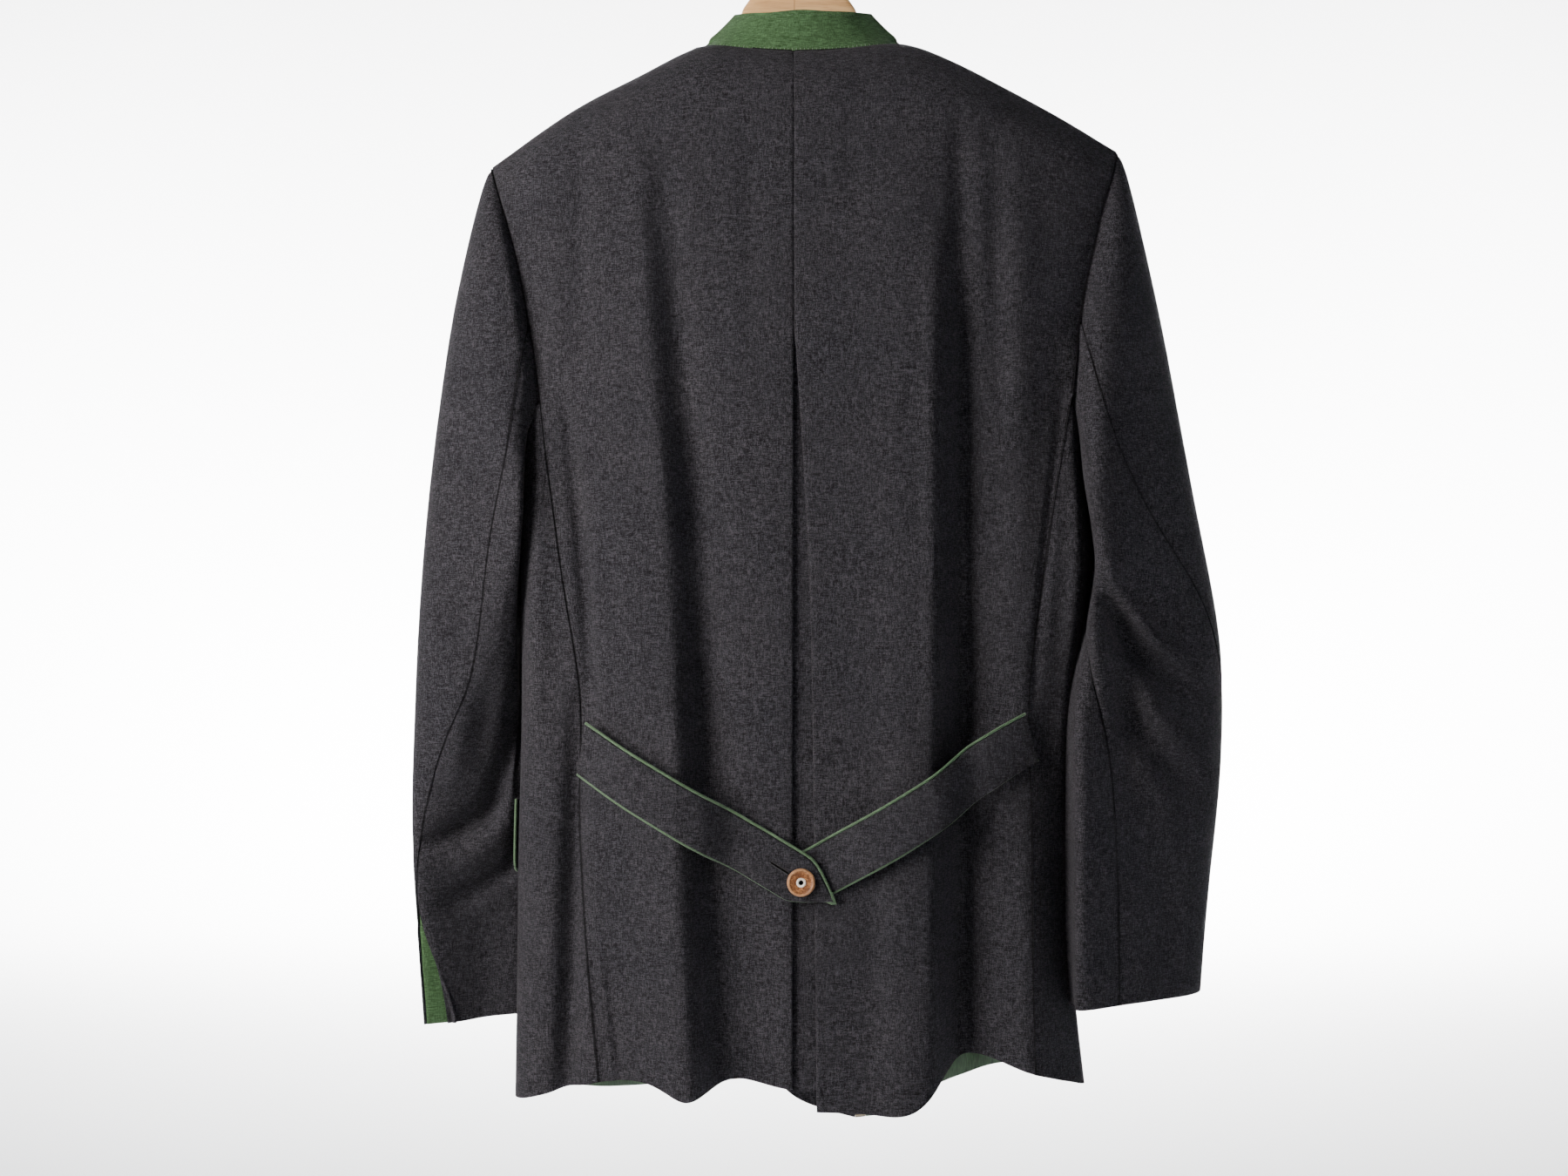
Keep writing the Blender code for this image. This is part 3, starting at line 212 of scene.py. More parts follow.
def blend_colours(tree, share, first, second, kind="MIX"):
    """Two colours mixed or multiplied by a share."""
    made = knot(tree, "ShaderNodeMix", data_type="RGBA", blend_type=kind)
    sockets = (made.inputs[0], made.inputs[6], made.inputs[7])
    for socket, value in zip(sockets, (share, first, second)):
        if isinstance(value, (int, float)):
            socket.default_value = value
        elif isinstance(value, tuple):
            socket.default_value = (*value, 1.0)
        else:
            tree.links.new(value, socket)
    return made.outputs[2]


def shaded(tree, colour, source, *stops):
    """A colour multiplied by a ramp of (position, colour) stops on a source."""
    return blend_colours(tree, 1.0, colour, ramp(tree, source, stops), "MULTIPLY")


def spread_range(tree, source, low, high, to_low=0.0, to_high=1.0):
    """A soft step from one value to another as the source passes from low to high."""
    made = knot(tree, "ShaderNodeMapRange", interpolation_type="SMOOTHSTEP")
    for socket, value in zip(list(made.inputs)[1:5], (low, high, to_low, to_high)):
        socket.default_value = value
    tree.links.new(source, made.inputs["Value"])
    return made.outputs["Result"]


def raised(tree, shader, height, millimetres):
    """Relief of a height from 0 to 1, in millimetres."""
    made = knot(tree, "ShaderNodeBump", Strength=1.0, Distance=millimetres * MM)
    tree.links.new(height, made.inputs["Height"])
    tree.links.new(made.outputs["Normal"], shader.inputs["Normal"])


def paint(tree, shader, colour):
    """Joins a colour to the shader."""
    tree.links.new(colour, shader.inputs["Base Color"])


def grained(name, colour, roughness, marks, stops, relief, **values):
    """A finish whose colour and relief follow one grain."""
    made, tree, shader = new_finish(name, colour, roughness)
    source = grain(tree, *marks)
    paint(tree, shader, ramp(tree, source, stops))
    raised(tree, shader, source, relief)
    set_sockets(shader, **values)
    return made


# The wool is painted darker near a seam, as shade in its groove.
SEAM_MARK = "seam"  # how far a point of cloth is from its sewn edge, in mm
NO_SEAM = 12.0


def wool_finish(name, dark, pale):
    """Charcoal melange: warp and weft yarns of uneven grey, pale flecks, a short milled nap, and
    painted shade in the seams' grooves.
    """
    made, tree, shader = new_finish(name, dark, 0.95)
    weft = grain(tree, (230, 230, 1500), 3.0, 0.6)
    warp = grain(tree, (1500, 1500, 230), 3.0, 0.6)
    fibre = grain(tree, (1500, 1500, 1500), 2.0, 0.7)
    cloud = grain(tree, (16, 16, 16), 3.0, 0.55)
    yarn = sums(tree, sums(tree, weft, warp), 0.5, "MULTIPLY")
    mixed = sums(tree, sums(tree, yarn, 0.62, "MULTIPLY"), sums(tree, fibre, 0.38, "MULTIPLY"))
    middle = tuple((d + p) * 0.36 for d, p in zip(dark, pale))
    yarns = ramp(tree, mixed, ((0.42, dark), (0.5, middle), (0.58, pale)))
    cloth_colour = shaded(tree, yarns, cloud, (0.3, (0.9, 0.9, 0.92)), (0.7, (1.08, 1.06, 1.06)))
    from_seam = knot(tree, "ShaderNodeAttribute", attribute_name=SEAM_MARK).outputs["Fac"]
    # Painted shade: the wool's colour is darkened to 0.3 at the seam line and is full again 1.3 mm
    # from it; the same step also sinks the groove's relief.
    seam_groove_shade = spread_range(tree, from_seam, 0.15, 1.3)
    paint(tree, shader, shaded(tree, cloth_colour, seam_groove_shade, (0.0, (0.3, 0.3, 0.3)), (1.0, WHITE)))
    relief = sums(tree, mixed, sums(tree, seam_groove_shade, 0.8, "MULTIPLY"))
    raised(tree, shader, relief, 0.5)
    set_sockets(
        shader, Specular_IOR_Level=0.06, Sheen_Weight=0.03, Sheen_Roughness=0.5,
        Sheen_Tint=(0.75, 0.73, 0.76, 1.0),
    )
    return made


wool = wool_finish("charcoal melange wool", (0.0043, 0.0042, 0.0052), (0.0448, 0.0436, 0.0494))


def ease(t):
    t = np.clip(t, 0.0, 1.0)
    return t * t * (3 - 2 * t)


def unit(ways):
    return ways / np.maximum(np.linalg.norm(ways, axis=-1, keepdims=True), 1e-12)


def values_of(items, name, columns=1, kind=float):
    """One property of all of a mesh's points, faces or corners."""
    flat = np.empty(len(items) * columns, kind)
    items.foreach_get(name, flat)
    return flat.reshape(-1, columns) if columns > 1 else flat


def coordinates(mesh):
    return values_of(mesh.vertices, "co", 3)


def set_coordinates(mesh, points):
    mesh.vertices.foreach_set("co", points.ravel())
    mesh.update()


def mark_points(mesh, name, values):
    mesh.attributes.new(name, "FLOAT", "POINT").data.foreach_set("value", values)


def linked(name, mesh, finish, nodes=()):
    """A piece of the jacket: it rides with the root and stands for its solids."""
    item = bpy.data.objects.new(name, mesh)
    bpy.context.scene.collection.objects.link(item)
    mesh.materials.clear()
    mesh.materials.append(finish)
    mesh.shade_smooth()
    mesh.set_sharp_from_angle(angle=math.radians(60))
    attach(item, "root")
    if nodes:
        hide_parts(*nodes)
    return item


smoothed = {}
rims = {}
trees = {}


def surface_of(mesh):
    """A tree of a mesh's faces, for laying things on them."""
    work = bmesh.new()
    work.from_mesh(mesh)
    tree = BVHTree.FromBMesh(work)
    work.free()
    return tree


def points_of(spots):
    """A tree of points."""
    tree = kdtree.KDTree(len(spots))
    for k, place in enumerate(spots):
        tree.insert(place, k)
    tree.balance()
    return tree


def sharp_edges(work):
    return [e for e in work.edges if e.is_manifold and e.calc_face_angle() > WALL_EDGE]


def smooth_cloth(node):
    """The node's wall of cloth in smooth small faces, with its cut edges where they were."""
    if node in smoothed:
        return smoothed[node]
    work = bmesh.new()
    work.from_mesh(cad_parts[node].data)
    bmesh.ops.remove_doubles(work, verts=work.verts, dist=SAME_SPOT)
    bmesh.ops.join_triangles(
        work, faces=work.faces, angle_face_threshold=QUAD_FLAT, angle_shape_threshold=math.pi,
    )
    crease = work.edges.layers.float.new("crease_edge")
    for edge in sharp_edges(work):
        edge[crease] = 1.0
    rough = bpy.data.meshes.new(node + "_rough")
    work.to_mesh(rough)
    work.free()
    holder = bpy.data.objects.new(node + "_rough", rough)
    bpy.context.scene.collection.objects.link(holder)
    rounding = holder.modifiers.new("rounding", "SUBSURF")
    rounding.levels = FINE_ROUNDS if node in FINE_CLOTHS else PLAIN_ROUNDS
    rounding.use_limit_surface = True
    rounded = holder.evaluated_get(bpy.context.evaluated_depsgraph_get())
    shaped = bpy.data.meshes.new_from_object(rounded)
    bpy.data.objects.remove(holder)
    bpy.data.meshes.remove(rough)
    work = bmesh.new()
    work.from_mesh(shaped)
    rims[node] = sorted({v.index for e in sharp_edges(work) for v in e.verts})
    work.free()
    trees[node] = surface_of(shaped)
    smoothed[node] = shaped
    return shaped


def soften_edges(mesh, reach=EDGE_ROUND):
    """Rounds the edges of the cloth's wall."""
    work = bmesh.new()
    work.from_mesh(mesh)
    bmesh.ops.bevel(
        work, geom=sharp_edges(work), offset=reach, segments=2, profile=0.5, affect="EDGES",
        clamp_overlap=True,
    )
    work.to_mesh(mesh)
    work.free()


SEAM_REACH = 2.2 * MM  # edges nearer than this are sewn together
SEAM_DRAW = 0.46  # each draws this share of the gap closed
SEAM_DRAW_WIDTH = 2.0 * MM
SEAM_SINK = 0.9 * MM  # depth and half width of the groove along a seam
SEAM_WIDTH = 3.6 * MM
BROAD_FACE = 0.3  # faces that look less than this outward are the wall's edge


def outward_ways(mesh, points, outward):
    """Each point's way out of the cloth, from the broad faces round it."""
    normals = values_of(mesh.polygons, "normal", 3)
    totals = values_of(mesh.polygons, "loop_total", kind=int)
    corners = values_of(mesh.loops, "vertex_index", kind=int)
    facing = (normals * outward(values_of(mesh.polygons, "center", 3))).sum(axis=1)
    weights = np.sign(facing) * (np.abs(facing) > BROAD_FACE) * values_of(mesh.polygons, "area")
    ways = np.zeros_like(points)
    np.add.at(ways, corners, np.repeat(normals * weights[:, None], totals, axis=0))
    return unit(ways)


def close_seams(mesh, node, partners, outward):
    """Draws the edges that are sewn together, sinks them in a soft groove and marks their place."""
    points = coordinates(mesh)
    sewn = []
    for partner in partners:
        smooth_cloth(partner)
    for index in rims[node]:
        place = Vector(points[index])
        hits = [trees[partner].find_nearest(place, SEAM_REACH) for partner in partners]
        hits = [(hit[3], hit[0]) for hit in hits if hit[0] is not None]
        if hits:
            sewn.append((place, min(hits, key=lambda h: h[0])[1] - place))
    marks = np.full(len(points), NO_SEAM)
    if sewn:
        near = points_of([place for place, _ in sewn])
        drawn = np.zeros_like(points)
        gaps = np.full(len(points), 1.0)
        for k, place in enumerate(points):
            _, closest, gap = near.find(place)
            gaps[k] = gap
            if gap < NO_SEAM * MM:
                drawn[k] = sewn[closest][1]
        marks = np.minimum(gaps / MM, NO_SEAM)
        ways = outward_ways(mesh, points, outward)
        points += drawn * (SEAM_DRAW * np.exp(-(gaps / SEAM_DRAW_WIDTH) ** 2))[:, None]
        points -= ways * (SEAM_SINK * np.exp(-(gaps / SEAM_WIDTH) ** 2))[:, None]
        set_coordinates(mesh, points)
    mark_points(mesh, SEAM_MARK, marks)


BODY_OVAL = (0.04, 0.0042)  # the body's roundness across, and fore and aft
SHOULDER_DROP = 0.23
SHOULDER_UP = 200


def out_of_body(points):
    """Rough way out of the jacket's body at each point."""
    up = np.clip(points[:, 2] + SHOULDER_DROP, 0, 1) * SHOULDER_UP
    return unit(np.stack([points[:, 0] / BODY_OVAL[0], points[:, 1] / BODY_OVAL[1], up], axis=-1))


FOLD_END = 0.05  # how far along its swell a fold starts and stops
FOLD_TAPER = 0.6


def push_folds(points, folds, weight, way):
    """Moves points by soft folds: bowed lines between two spots, each with a width and a rise."""
    flat = np.stack([points[:, 0], -points[:, 2]], axis=-1) / MM
    lift = np.zeros(len(points))
    for x_a, drop_a, x_b, drop_b, bow, width, out in folds:
        start = np.array([x_a, drop_a], float)
        run = np.array([x_b, drop_b], float) - start
        t = (flat - start) @ run / (run @ run)
        inside = np.clip(t, 0.0, 1.0)
        aside = np.array([-run[1], run[0]]) / np.linalg.norm(run)
        bowed = 4 * inside * (1 - inside) * bow
        line = start + inside[:, None] * run + bowed[:, None] * aside
        gap = np.linalg.norm(flat - line, axis=-1)
        ends = np.sin(np.pi * (FOLD_END + (1 - 2 * FOLD_END) * inside)) ** FOLD_TAPER
        lift += out * ends * np.exp(-(gap / width) ** 2)
    points += np.array(way) * (lift * weight * MM)[:, None]


BACK_FOLDS = (
    (121, 205, 98, 480, 0, 12, 4.4), (101, 400, 87, 660, 0, 10, 5.2),
    (94, 580, 76, 980, 0, 10, 5.4), (100, 210, 78, 480, 0, 12, -6), (81, 400, 66, 660, 0, 10, -7),
    (73, 580, 55, 980, 0, 10, -8.4), (-98, 260, -99, 620, 0, 9, 6.6),
    (-98, 540, -96, 980, 0, 9, 6.4), (-118, 170, -122, 420, 0, 8, -5),
    (-123, 300, -123, 620, 0, 10, -12.5), (-123, 540, -121, 980, 0, 10, -12.5),
    (-142, 280, -140, 640, 0, 18, -3), (-142, 560, -142, 980, 0, 18, -3),
    (-146, 190, -146, 380, 0, 8, -3), (-162, 190, -164, 400, 0, 12, 2.6),
    (178, 350, 155, 622, 4, 6, -6), (166, 370, 144, 610, 4, 8, 2.6), (197, 385, 201, 640, 0, 11, 9),
    (163, 170, 160, 335, 0, 9, -3.4), (182, 280, 174, 420, 0, 8, 2.4),
    (-197, 372, -174, 612, -3, 3.5, -3.6), (-212, 350, -206, 690, 0, 13, 17),
    (-190, 400, -186, 600, 0, 9, 4), (38, 180, 36, 330, 0, 8, -1.6),
    (-40, 165, -40, 260, 0, 8, -1.4), (165, 600, 177, 980, 0, 9, -15),
    (146, 690, 146, 980, 0, 12, 3.6), (160, 725, 141, 915, 0, 4.5, -3),
    (149, 745, 129, 915, 0, 4.5, -2.6), (-196, 660, -212, 960, 0, 9, -4),
    (-172, 700, -176, 960, 0, 12, 3), (-60, 640, -52, 980, 0, 12, -2.2),
    (20, 760, 22, 980, 0, 9, -1.4),
)
FRONT_FOLDS = (
    (96, 260, 70, 620, 0, 15, -2.6), (128, 250, 112, 640, 0, 15, 2.4),
    (-90, 240, -76, 600, 0, 15, -2.8), (-122, 260, -112, 640, 0, 16, 2.6),
    (170, 330, 120, 430, 6, 9, -2.6), (-176, 330, -128, 440, -6, 9, -2.8),
    (176, 420, 150, 660, 0, 9, -2.4), (-178, 420, -156, 650, 0, 9, -2.2),
    (150, 780, 156, 980, 0, 10, -2), (-150, 780, -160, 980, 0, 10, -2),
    (40, 520, 52, 760, 0, 10, -1.4), (-48, 500, -40, 720, 0, 10, -1.2),
)


BODY_BLEND = 30  # mm behind the middle at which the back's folds are at their full


def drape_body(mesh):
    """The listed folds of the jacket's back and front."""
    points = coordinates(mesh)
    depth = points[:, 1] / MM
    push_folds(points, BACK_FOLDS, ease(depth / BODY_BLEND), (0, 1, 0))
    push_folds(points, FRONT_FOLDS, ease(-depth / BODY_BLEND), (0, -1, 0))
    set_coordinates(mesh, points)


CENTRE_SEAM = 4.3 * MM  # where the centre-back seam lies
CENTRE_REACH = 6.0 * MM
CENTRE_LOWEST = -360 * MM
CENTRE_OPENS = (328 * MM, 344 * MM)  # drops between which the seam opens into the pleat
SEAM_SLICE = 5 * MM
CENTRE_LAP = 0.7 * MM  # how far the edges lap where the collar is sewn on
LAP_BELOW = 0.06  # the share of it that they keep all the way down
CENTRE_TOP = 150 * MM
CENTRE_FADE = 12 * MM


def close_centre(mesh):
    """Draws the turned edges of the backs together above the pleat."""
    points = coordinates(mesh)
    aside = points[:, 0] - CENTRE_SEAM
    near = np.abs(aside) < 2 * CENTRE_REACH
    heights = np.arange(CENTRE_LOWEST, points[near, 2].max() + SEAM_SLICE, SEAM_SLICE)
    least = []
    for height in heights:
        level = np.abs(points[:, 2] - height) < SEAM_SLICE * 1.5
        least.append(np.abs(aside[near & level]).min())
    gap = np.interp(points[:, 2], heights, least)
    closed = 1 - ease((-points[:, 2] - CENTRE_OPENS[0]) / (CENTRE_OPENS[1] - CENTRE_OPENS[0]))
    lap = CENTRE_LAP * (LAP_BELOW + ease((points[:, 2] + CENTRE_TOP) / CENTRE_FADE))
    pull = (gap + lap) * np.exp(-((np.abs(aside) - gap) / CENTRE_REACH) ** 2) * closed * near
    points[:, 0] -= np.sign(aside) * pull
    set_coordinates(mesh, points)


def neighbours(node, side):
    """The wool cloths that a cloth on that side may be sewn to."""
    return [n for n in BODY_CLOTHS + SLEEVE_CLOTHS if n.endswith(side) and n != node]


def finished(node, mesh, finish, edge=EDGE_ROUND, ending="_cloth"):
    """Rounds a draped cloth's edges and lets it stand for its solid."""
    soften_edges(mesh, edge)
    return linked(node + ending, mesh, finish, [node])


def body_cloth(node, partners):
    """A panel of the body in wool, with its seams closed and its folds laid in."""
    mesh = smooth_cloth(node).copy()
    close_seams(mesh, node, partners, out_of_body)
    if node.startswith("back_"):
        close_centre(mesh)
    drape_body(mesh)
    item = finished(node, mesh, wool)


for side, flat, area in (("left", (0.305, 0.815), 0.1735), ("right", (0.315, 0.838), 0.1836)):
    node = "back_" + side
    other = "back_right" if side == "left" else "back_left"
    body_cloth(node, neighbours(node, side) + [other, "collar"])
body_cloth("pleat_underlay", [])

# Sides and fronts: panels of the same wool, seamed to the back, the left front over the right.
# Each front is turned in along its edge with a facing of the same wool, sewn in from neck to hem.
for side, flats in (
    ("left", ((0.152, 0.528, 0.0613), (0.351, 0.838, 0.1706), (0.071, 0.735, 0.0484))),
    ("right", ((0.131, 0.512, 0.0545), (0.349, 0.867, 0.1753), (0.078, 0.763, 0.0495))),
):
    for kind, (width, length, area) in zip(("side_", "front_"), flats):
        node = kind + side
        above = ["back_%s_cloth" % side, "front_%s_cloth" % side] if kind == "side_" else ["hanger"]
        body_cloth(node, neighbours(node, side) + ["collar"])
    width, length, area = flats[2]
    body_cloth("facing_" + side, [])

# Sleeves: a wide top sleeve and a narrow under sleeve each, set into the armholes with easing.
# They hang half bent at the elbow, so the wool drags in creases from the inner bend outward.
LEFT_SLEEVE_BACK = (
    (222, 185, 201, 350, 0, 9, 8), (201, 320, 207, 500, 0, 9, 4), (207, 530, 217, 650, 0, 8, -13),
    (214, 600, 240, 696, 3, 9, -14), (232, 682, 290, 716, 4, 7, -12),
    (246, 560, 258, 676, -4, 13, 5), (208, 688, 226, 740, 2, 7, -8), (218, 730, 274, 762, 4, 7, -8),
    (226, 702, 270, 734, 5, 8, 4), (240, 300, 246, 480, 0, 14, 2), (262, 520, 240, 640, 0, 11, -2),
    (282, 560, 286, 660, 0, 10, -1.8), (217, 776, 214, 884, 0, 24, 8),
)
RIGHT_SLEEVE_BACK = (
    (-222, 496, -306, 582, -12, 9, 11), (-226, 518, -302, 604, -12, 9, -9),
    (-238, 566, -312, 646, -9, 9, 7), (-232, 588, -306, 676, -8, 9, -8),
    (-236, 520, -252, 640, 0, 12, -13), (-240, 600, -250, 740, 0, 12, -6),
    (-240, 600, -284, 690, -6, 8, 3.4), (-258, 660, -290, 800, -4, 12, -4),
    (-246, 740, -262, 830, 0, 10, 3), (-206, 560, -206, 800, 0, 9, 4),
)
LEFT_SLEEVE_FRONT = (
    (222, 470, 286, 540, 6, 9, -5), (216, 530, 284, 600, 6, 9, -5.4),
    (214, 590, 270, 650, 5, 10, -4.4), (230, 500, 290, 570, 6, 9, 3),
    (226, 330, 250, 450, 0, 13, -3),
)
RIGHT_SLEEVE_FRONT = (
    (-234, 470, -300, 540, -6, 9, -5.2), (-228, 535, -306, 606, -6, 10, -5.4),
    (-226, 600, -296, 670, -5, 10, -4.2), (-240, 505, -304, 575, -6, 9, 3),
    (-232, 330, -262, 450, 0, 13, -3),
)
# Drops, and how far the left and the right sleeve's outer edge turns forward there
SLEEVE_TURN = (
    (0, 6, 14), (330, 12, 26), (430, 12, 29), (520, 10, 32), (600, 8, 36), (720, 5, 36),
    (900, 3, 30),
)
SLEEVE_FORWARD = 0.25  # share of the turn by which the whole sleeve hangs forward
HIND_TURNS = 0.3  # share of the turn that only the back half takes
SLEEVE_WIDENS = 1.7  # metres: turned forward by a share of this, it is wider by it
SLEEVE_FLATTER = 0.62  # share of the back half's roundness that is kept
HIND_BLEND = 24 * MM
CAP_FREE = 75 * MM  # how far from the armhole the sleeve hangs freely
CAP_NEAR = 14 * MM  # how far from it the creases begin
SLEEVE_CAP = 0.33  # metres below the hook where the cap begins to close over
SLICE = 12 * MM
TUCK = (11.0, -24.0, 26.0)  # the right sleeve's inner front: how far in, where, and how broad
TUCK_DROPS = (500 * MM, 600 * MM)


def sleeve_middle(side):
    """The middle and half width of the sleeve's level sections by height."""
    nodes = ("top_sleeve_" + side, "under_sleeve_" + side)
    points = np.concatenate([coordinates(smooth_cloth(node)) for node in nodes])
    order = []
    for height in np.arange(points[:, 2].min() + SLICE, points[:, 2].max() - SLICE, SLICE):
        here = points[np.abs(points[:, 2] - height) < SLICE]
        low, high = here.min(axis=0), here.max(axis=0)
        order.append((height, *((low + high) / 2)[:2], (high - low)[0] / 2))
    table = np.array(order)
    return lambda z: np.stack([np.interp(z, table[:, 0], table[:, k]) for k in (1, 2, 3)], axis=-1)


def armhole_tree(side):
    """The edge of the sleeve's cap, where it is sewn to the body."""
    spots = []
    body = [n for n in BODY_CLOTHS if n.endswith(side)]
    for kind in ("top_sleeve_", "under_sleeve_"):
        points = coordinates(smooth_cloth(kind + side))
        for index in rims[kind + side]:
            place = Vector(points[index])
            if any(trees[n].find_nearest(place, SEAM_REACH)[0] for n in body):
                spots.append(place)
    return points_of(spots)


def drape_sleeve(mesh, side, middle, armhole):
    """Presses the sleeve flatter behind, turns its outer edge forward and lays its creases in."""
    points = coordinates(mesh)
    x, y, half = middle(points[:, 2]).T
    sign = 1 if side == "left" else -1
    from_armhole = np.array([armhole.find(p)[2] for p in points])
    free, near = ease(from_armhole / CAP_FREE), ease(from_armhole / CAP_NEAR)
    turn = np.array(SLEEVE_TURN, float)
    amount = np.interp(-points[:, 2] / MM, turn[:, 0], turn[:, 1 if side == "left" else 2])
    wide = np.clip((points[:, 0] - x) * sign / half, -1, 1)
    hind = ease((points[:, 1] - y) / HIND_BLEND + 0.5)
    fore_and_aft = (points[:, 1] - y) / MM
    seam_groove_shade = SLEEVE_FLATTER * np.sqrt(1 + wide ** 2 + wide ** 4) - 1
    points[:, 1] += (points[:, 1] - y) * seam_groove_shade * hind * free
    shared = 1 - HIND_TURNS + HIND_TURNS * hind
    turned = amount * MM * (wide + SLEEVE_FORWARD) * shared * free
    points[:, 1] -= turned
    points[:, 0] *= 1 + turned / SLEEVE_WIDENS
    back, fore = (LEFT_SLEEVE_BACK, LEFT_SLEEVE_FRONT)
    if side == "right":
        back, fore = (RIGHT_SLEEVE_BACK, RIGHT_SLEEVE_FRONT)
        low = ease((-points[:, 2] - TUCK_DROPS[0]) / (TUCK_DROPS[1] - TUCK_DROPS[0]))
        corner = np.exp(-((fore_and_aft - TUCK[1]) / TUCK[2]) ** 2) * ease(-wide * 1.4)
        points[:, 0] += TUCK[0] * corner * low * MM
    push_folds(points, back, hind * near, (0, 1, 0))
    push_folds(points, fore, (1 - hind) * free, (0, -1, 0))
    set_coordinates(mesh, points)


VENT_DROPS = (752, 858)
VENT_OPEN = 11 * MM
VENT_HINGE = (236, 276)  # across the under sleeve, from where it swings to where it has
FACING_SHOWS = 2 * MM
FACING_INNER = 281.8
FACING_OUTER = ((766, 291.1), (811, 287.7), (856, 285.2))  # drop and x of the facing's sewn edge


def open_vent(mesh, facing=False):
    """Lets the left cuff's vent fall open toward the hem."""
    points = coordinates(mesh)
    across, drop = points[:, 0] / MM, -points[:, 2] / MM
    swing = VENT_OPEN * ease((drop - VENT_DROPS[0]) / (VENT_DROPS[1] - VENT_DROPS[0]))
    if facing:
        sewn = np.interp(drop, *np.array(FACING_OUTER).T)
        share = np.clip((across - FACING_INNER) / (sewn - FACING_INNER), 0, 1)
        points[:, 0] += FACING_SHOWS * share - (swing + FACING_SHOWS) * (1 - share)
    else:
        points[:, 0] -= swing * ease((across - VENT_HINGE[0]) / (VENT_HINGE[1] - VENT_HINGE[0]))
    set_coordinates(mesh, points)


def out_of_sleeve(middle):
    """The way out of a sleeve at any point, from the sleeve's middle line."""
    def ways(points):
        x, y, _ = middle(points[:, 2]).T
        up = np.clip(points[:, 2] + SLEEVE_CAP, 0, 1) * 0.5
        return unit(np.stack([points[:, 0] - x, points[:, 1] - y, up], axis=-1))
    return ways


SLEEVE_FLATS = {
    "top_sleeve_left": (0.352, 0.670, 0.1281), "under_sleeve_left": (0.176, 0.556, 0.0516),
    "top_sleeve_right": (0.358, 0.662, 0.1321), "under_sleeve_right": (0.167, 0.552, 0.0535),
}
for side in ("left", "right"):
    middle = sleeve_middle(side)
    armhole = armhole_tree(side)
    for kind in ("top_sleeve_", "under_sleeve_"):
        node = kind + side
        mesh = smooth_cloth(node).copy()
        close_seams(mesh, node, neighbours(node, side), out_of_sleeve(middle))
        if node == "under_sleeve_left":
            open_vent(mesh)
        drape_sleeve(mesh, side, middle, armhole)
        item = finished(node, mesh, wool)
        width, length, area = SLEEVE_FLATS[node]
        above = ["back_%s_cloth" % side]

# Cuff vent: the left cuff gapes a hand's breadth along its hind seam over a facing of green linen.
# The facing is sewn behind the top sleeve's edge and stands a little proud of the cuff.
def linen_finish(name, dark, pale):
    """Green linen: uneven threads both ways, the wefts standing out paler, matt and dry."""
    made, tree, shader = new_finish(name, pale, 0.88)
    weft = grain(tree, (210, 210, 1700), 3.0, 0.6)
    warp = grain(tree, (1700, 1700, 260), 3.0, 0.6)
    cloud = grain(tree, (30, 30, 30), 2.0, 0.5)
    mixed = sums(tree, sums(tree, weft, 0.6, "MULTIPLY"), sums(tree, warp, 0.4, "MULTIPLY"))
    middle = tuple((d + p) * 0.42 for d, p in zip(dark, pale))
    threads = ramp(tree, mixed, ((0.38, dark), (0.5, middle), (0.62, pale)))
    clouded = shaded(tree, threads, cloud, (0.3, (0.95, 0.95, 0.93)), (0.7, (1.04, 1.04, 1.04)))
    paint(tree, shader, clouded)
    raised(tree, shader, mixed, 0.4)
    set_sockets(
        shader, Specular_IOR_Level=0.2, Sheen_Weight=0.05, Sheen_Tint=(0.7, 0.85, 0.65, 1.0),
    )
    return made


THIN_EDGE = 0.3 * MM
linen = linen_finish("green linen", (0.014, 0.034, 0.0105), (0.0615, 0.126, 0.053))
mesh = smooth_cloth("vent_facing_left").copy()
open_vent(mesh, facing=True)
drape_sleeve(mesh, "left", sleeve_middle("left"), armhole_tree("left"))
finished("vent_facing_left", mesh, linen, THIN_EDGE)

# Stand collar: two layers of green linen turned inside out and pressed, sewn round the neckline.
# A row of pale overcast stitches runs just above its seam, and a topstitch along its upper edge.
# How far the lower edge stands out, in mm, by the turn from the centre back in degrees
COLLAR_LIP = ((0, 1.0), (45, 1.0), (68, 4.8), (118, 4.8), (150, 1.0))
COLLAR_LIP_HIGH = 9 * MM
LIP_SLICE = 0.09  # radians to each side over which the lowest point is sought
COLLAR_TURNS = 158  # degrees each way from the centre back
COLLAR_STEP = 0.25
COLLAR_SLICE = 4
COLLAR_ROUND = 75 * MM  # its radius, near enough for the length of a stitch
OUTSIDE = 0.3  # metres from the neck's middle, well clear of the collar
OVERCAST_STEP = 2.7 * MM
OVERCAST = (1.1 * MM, 3.4 * MM)  # from and to above the seam
TOPSTITCH_STEP = 3.4 * MM
TOPSTITCH_LONG = 2.3 * MM
TOPSTITCH_DOWN = 3.6 * MM
THREAD = 0.24 * MM
STITCH_RINGS = ((0.0, 0.25), (0.18, 0.9), (0.5, 1.1), (0.82, 0.9), (1.0, 0.25))
STITCH_SIDES = 6


def ring_ways(axis, sides):
    """The ways out from an axis, evenly round it."""
    aside = axis.orthogonal().normalized()
    upward = axis.cross(aside)
    turns = [2 * math.pi * k / sides for k in range(sides)]
    return [aside * math.cos(turn) + upward * math.sin(turn) for turn in turns]


def new_mesh(name, points, faces):
    mesh = bpy.data.meshes.new(name)
    mesh.from_pydata([tuple(p) for p in points], [], faces)
    return mesh


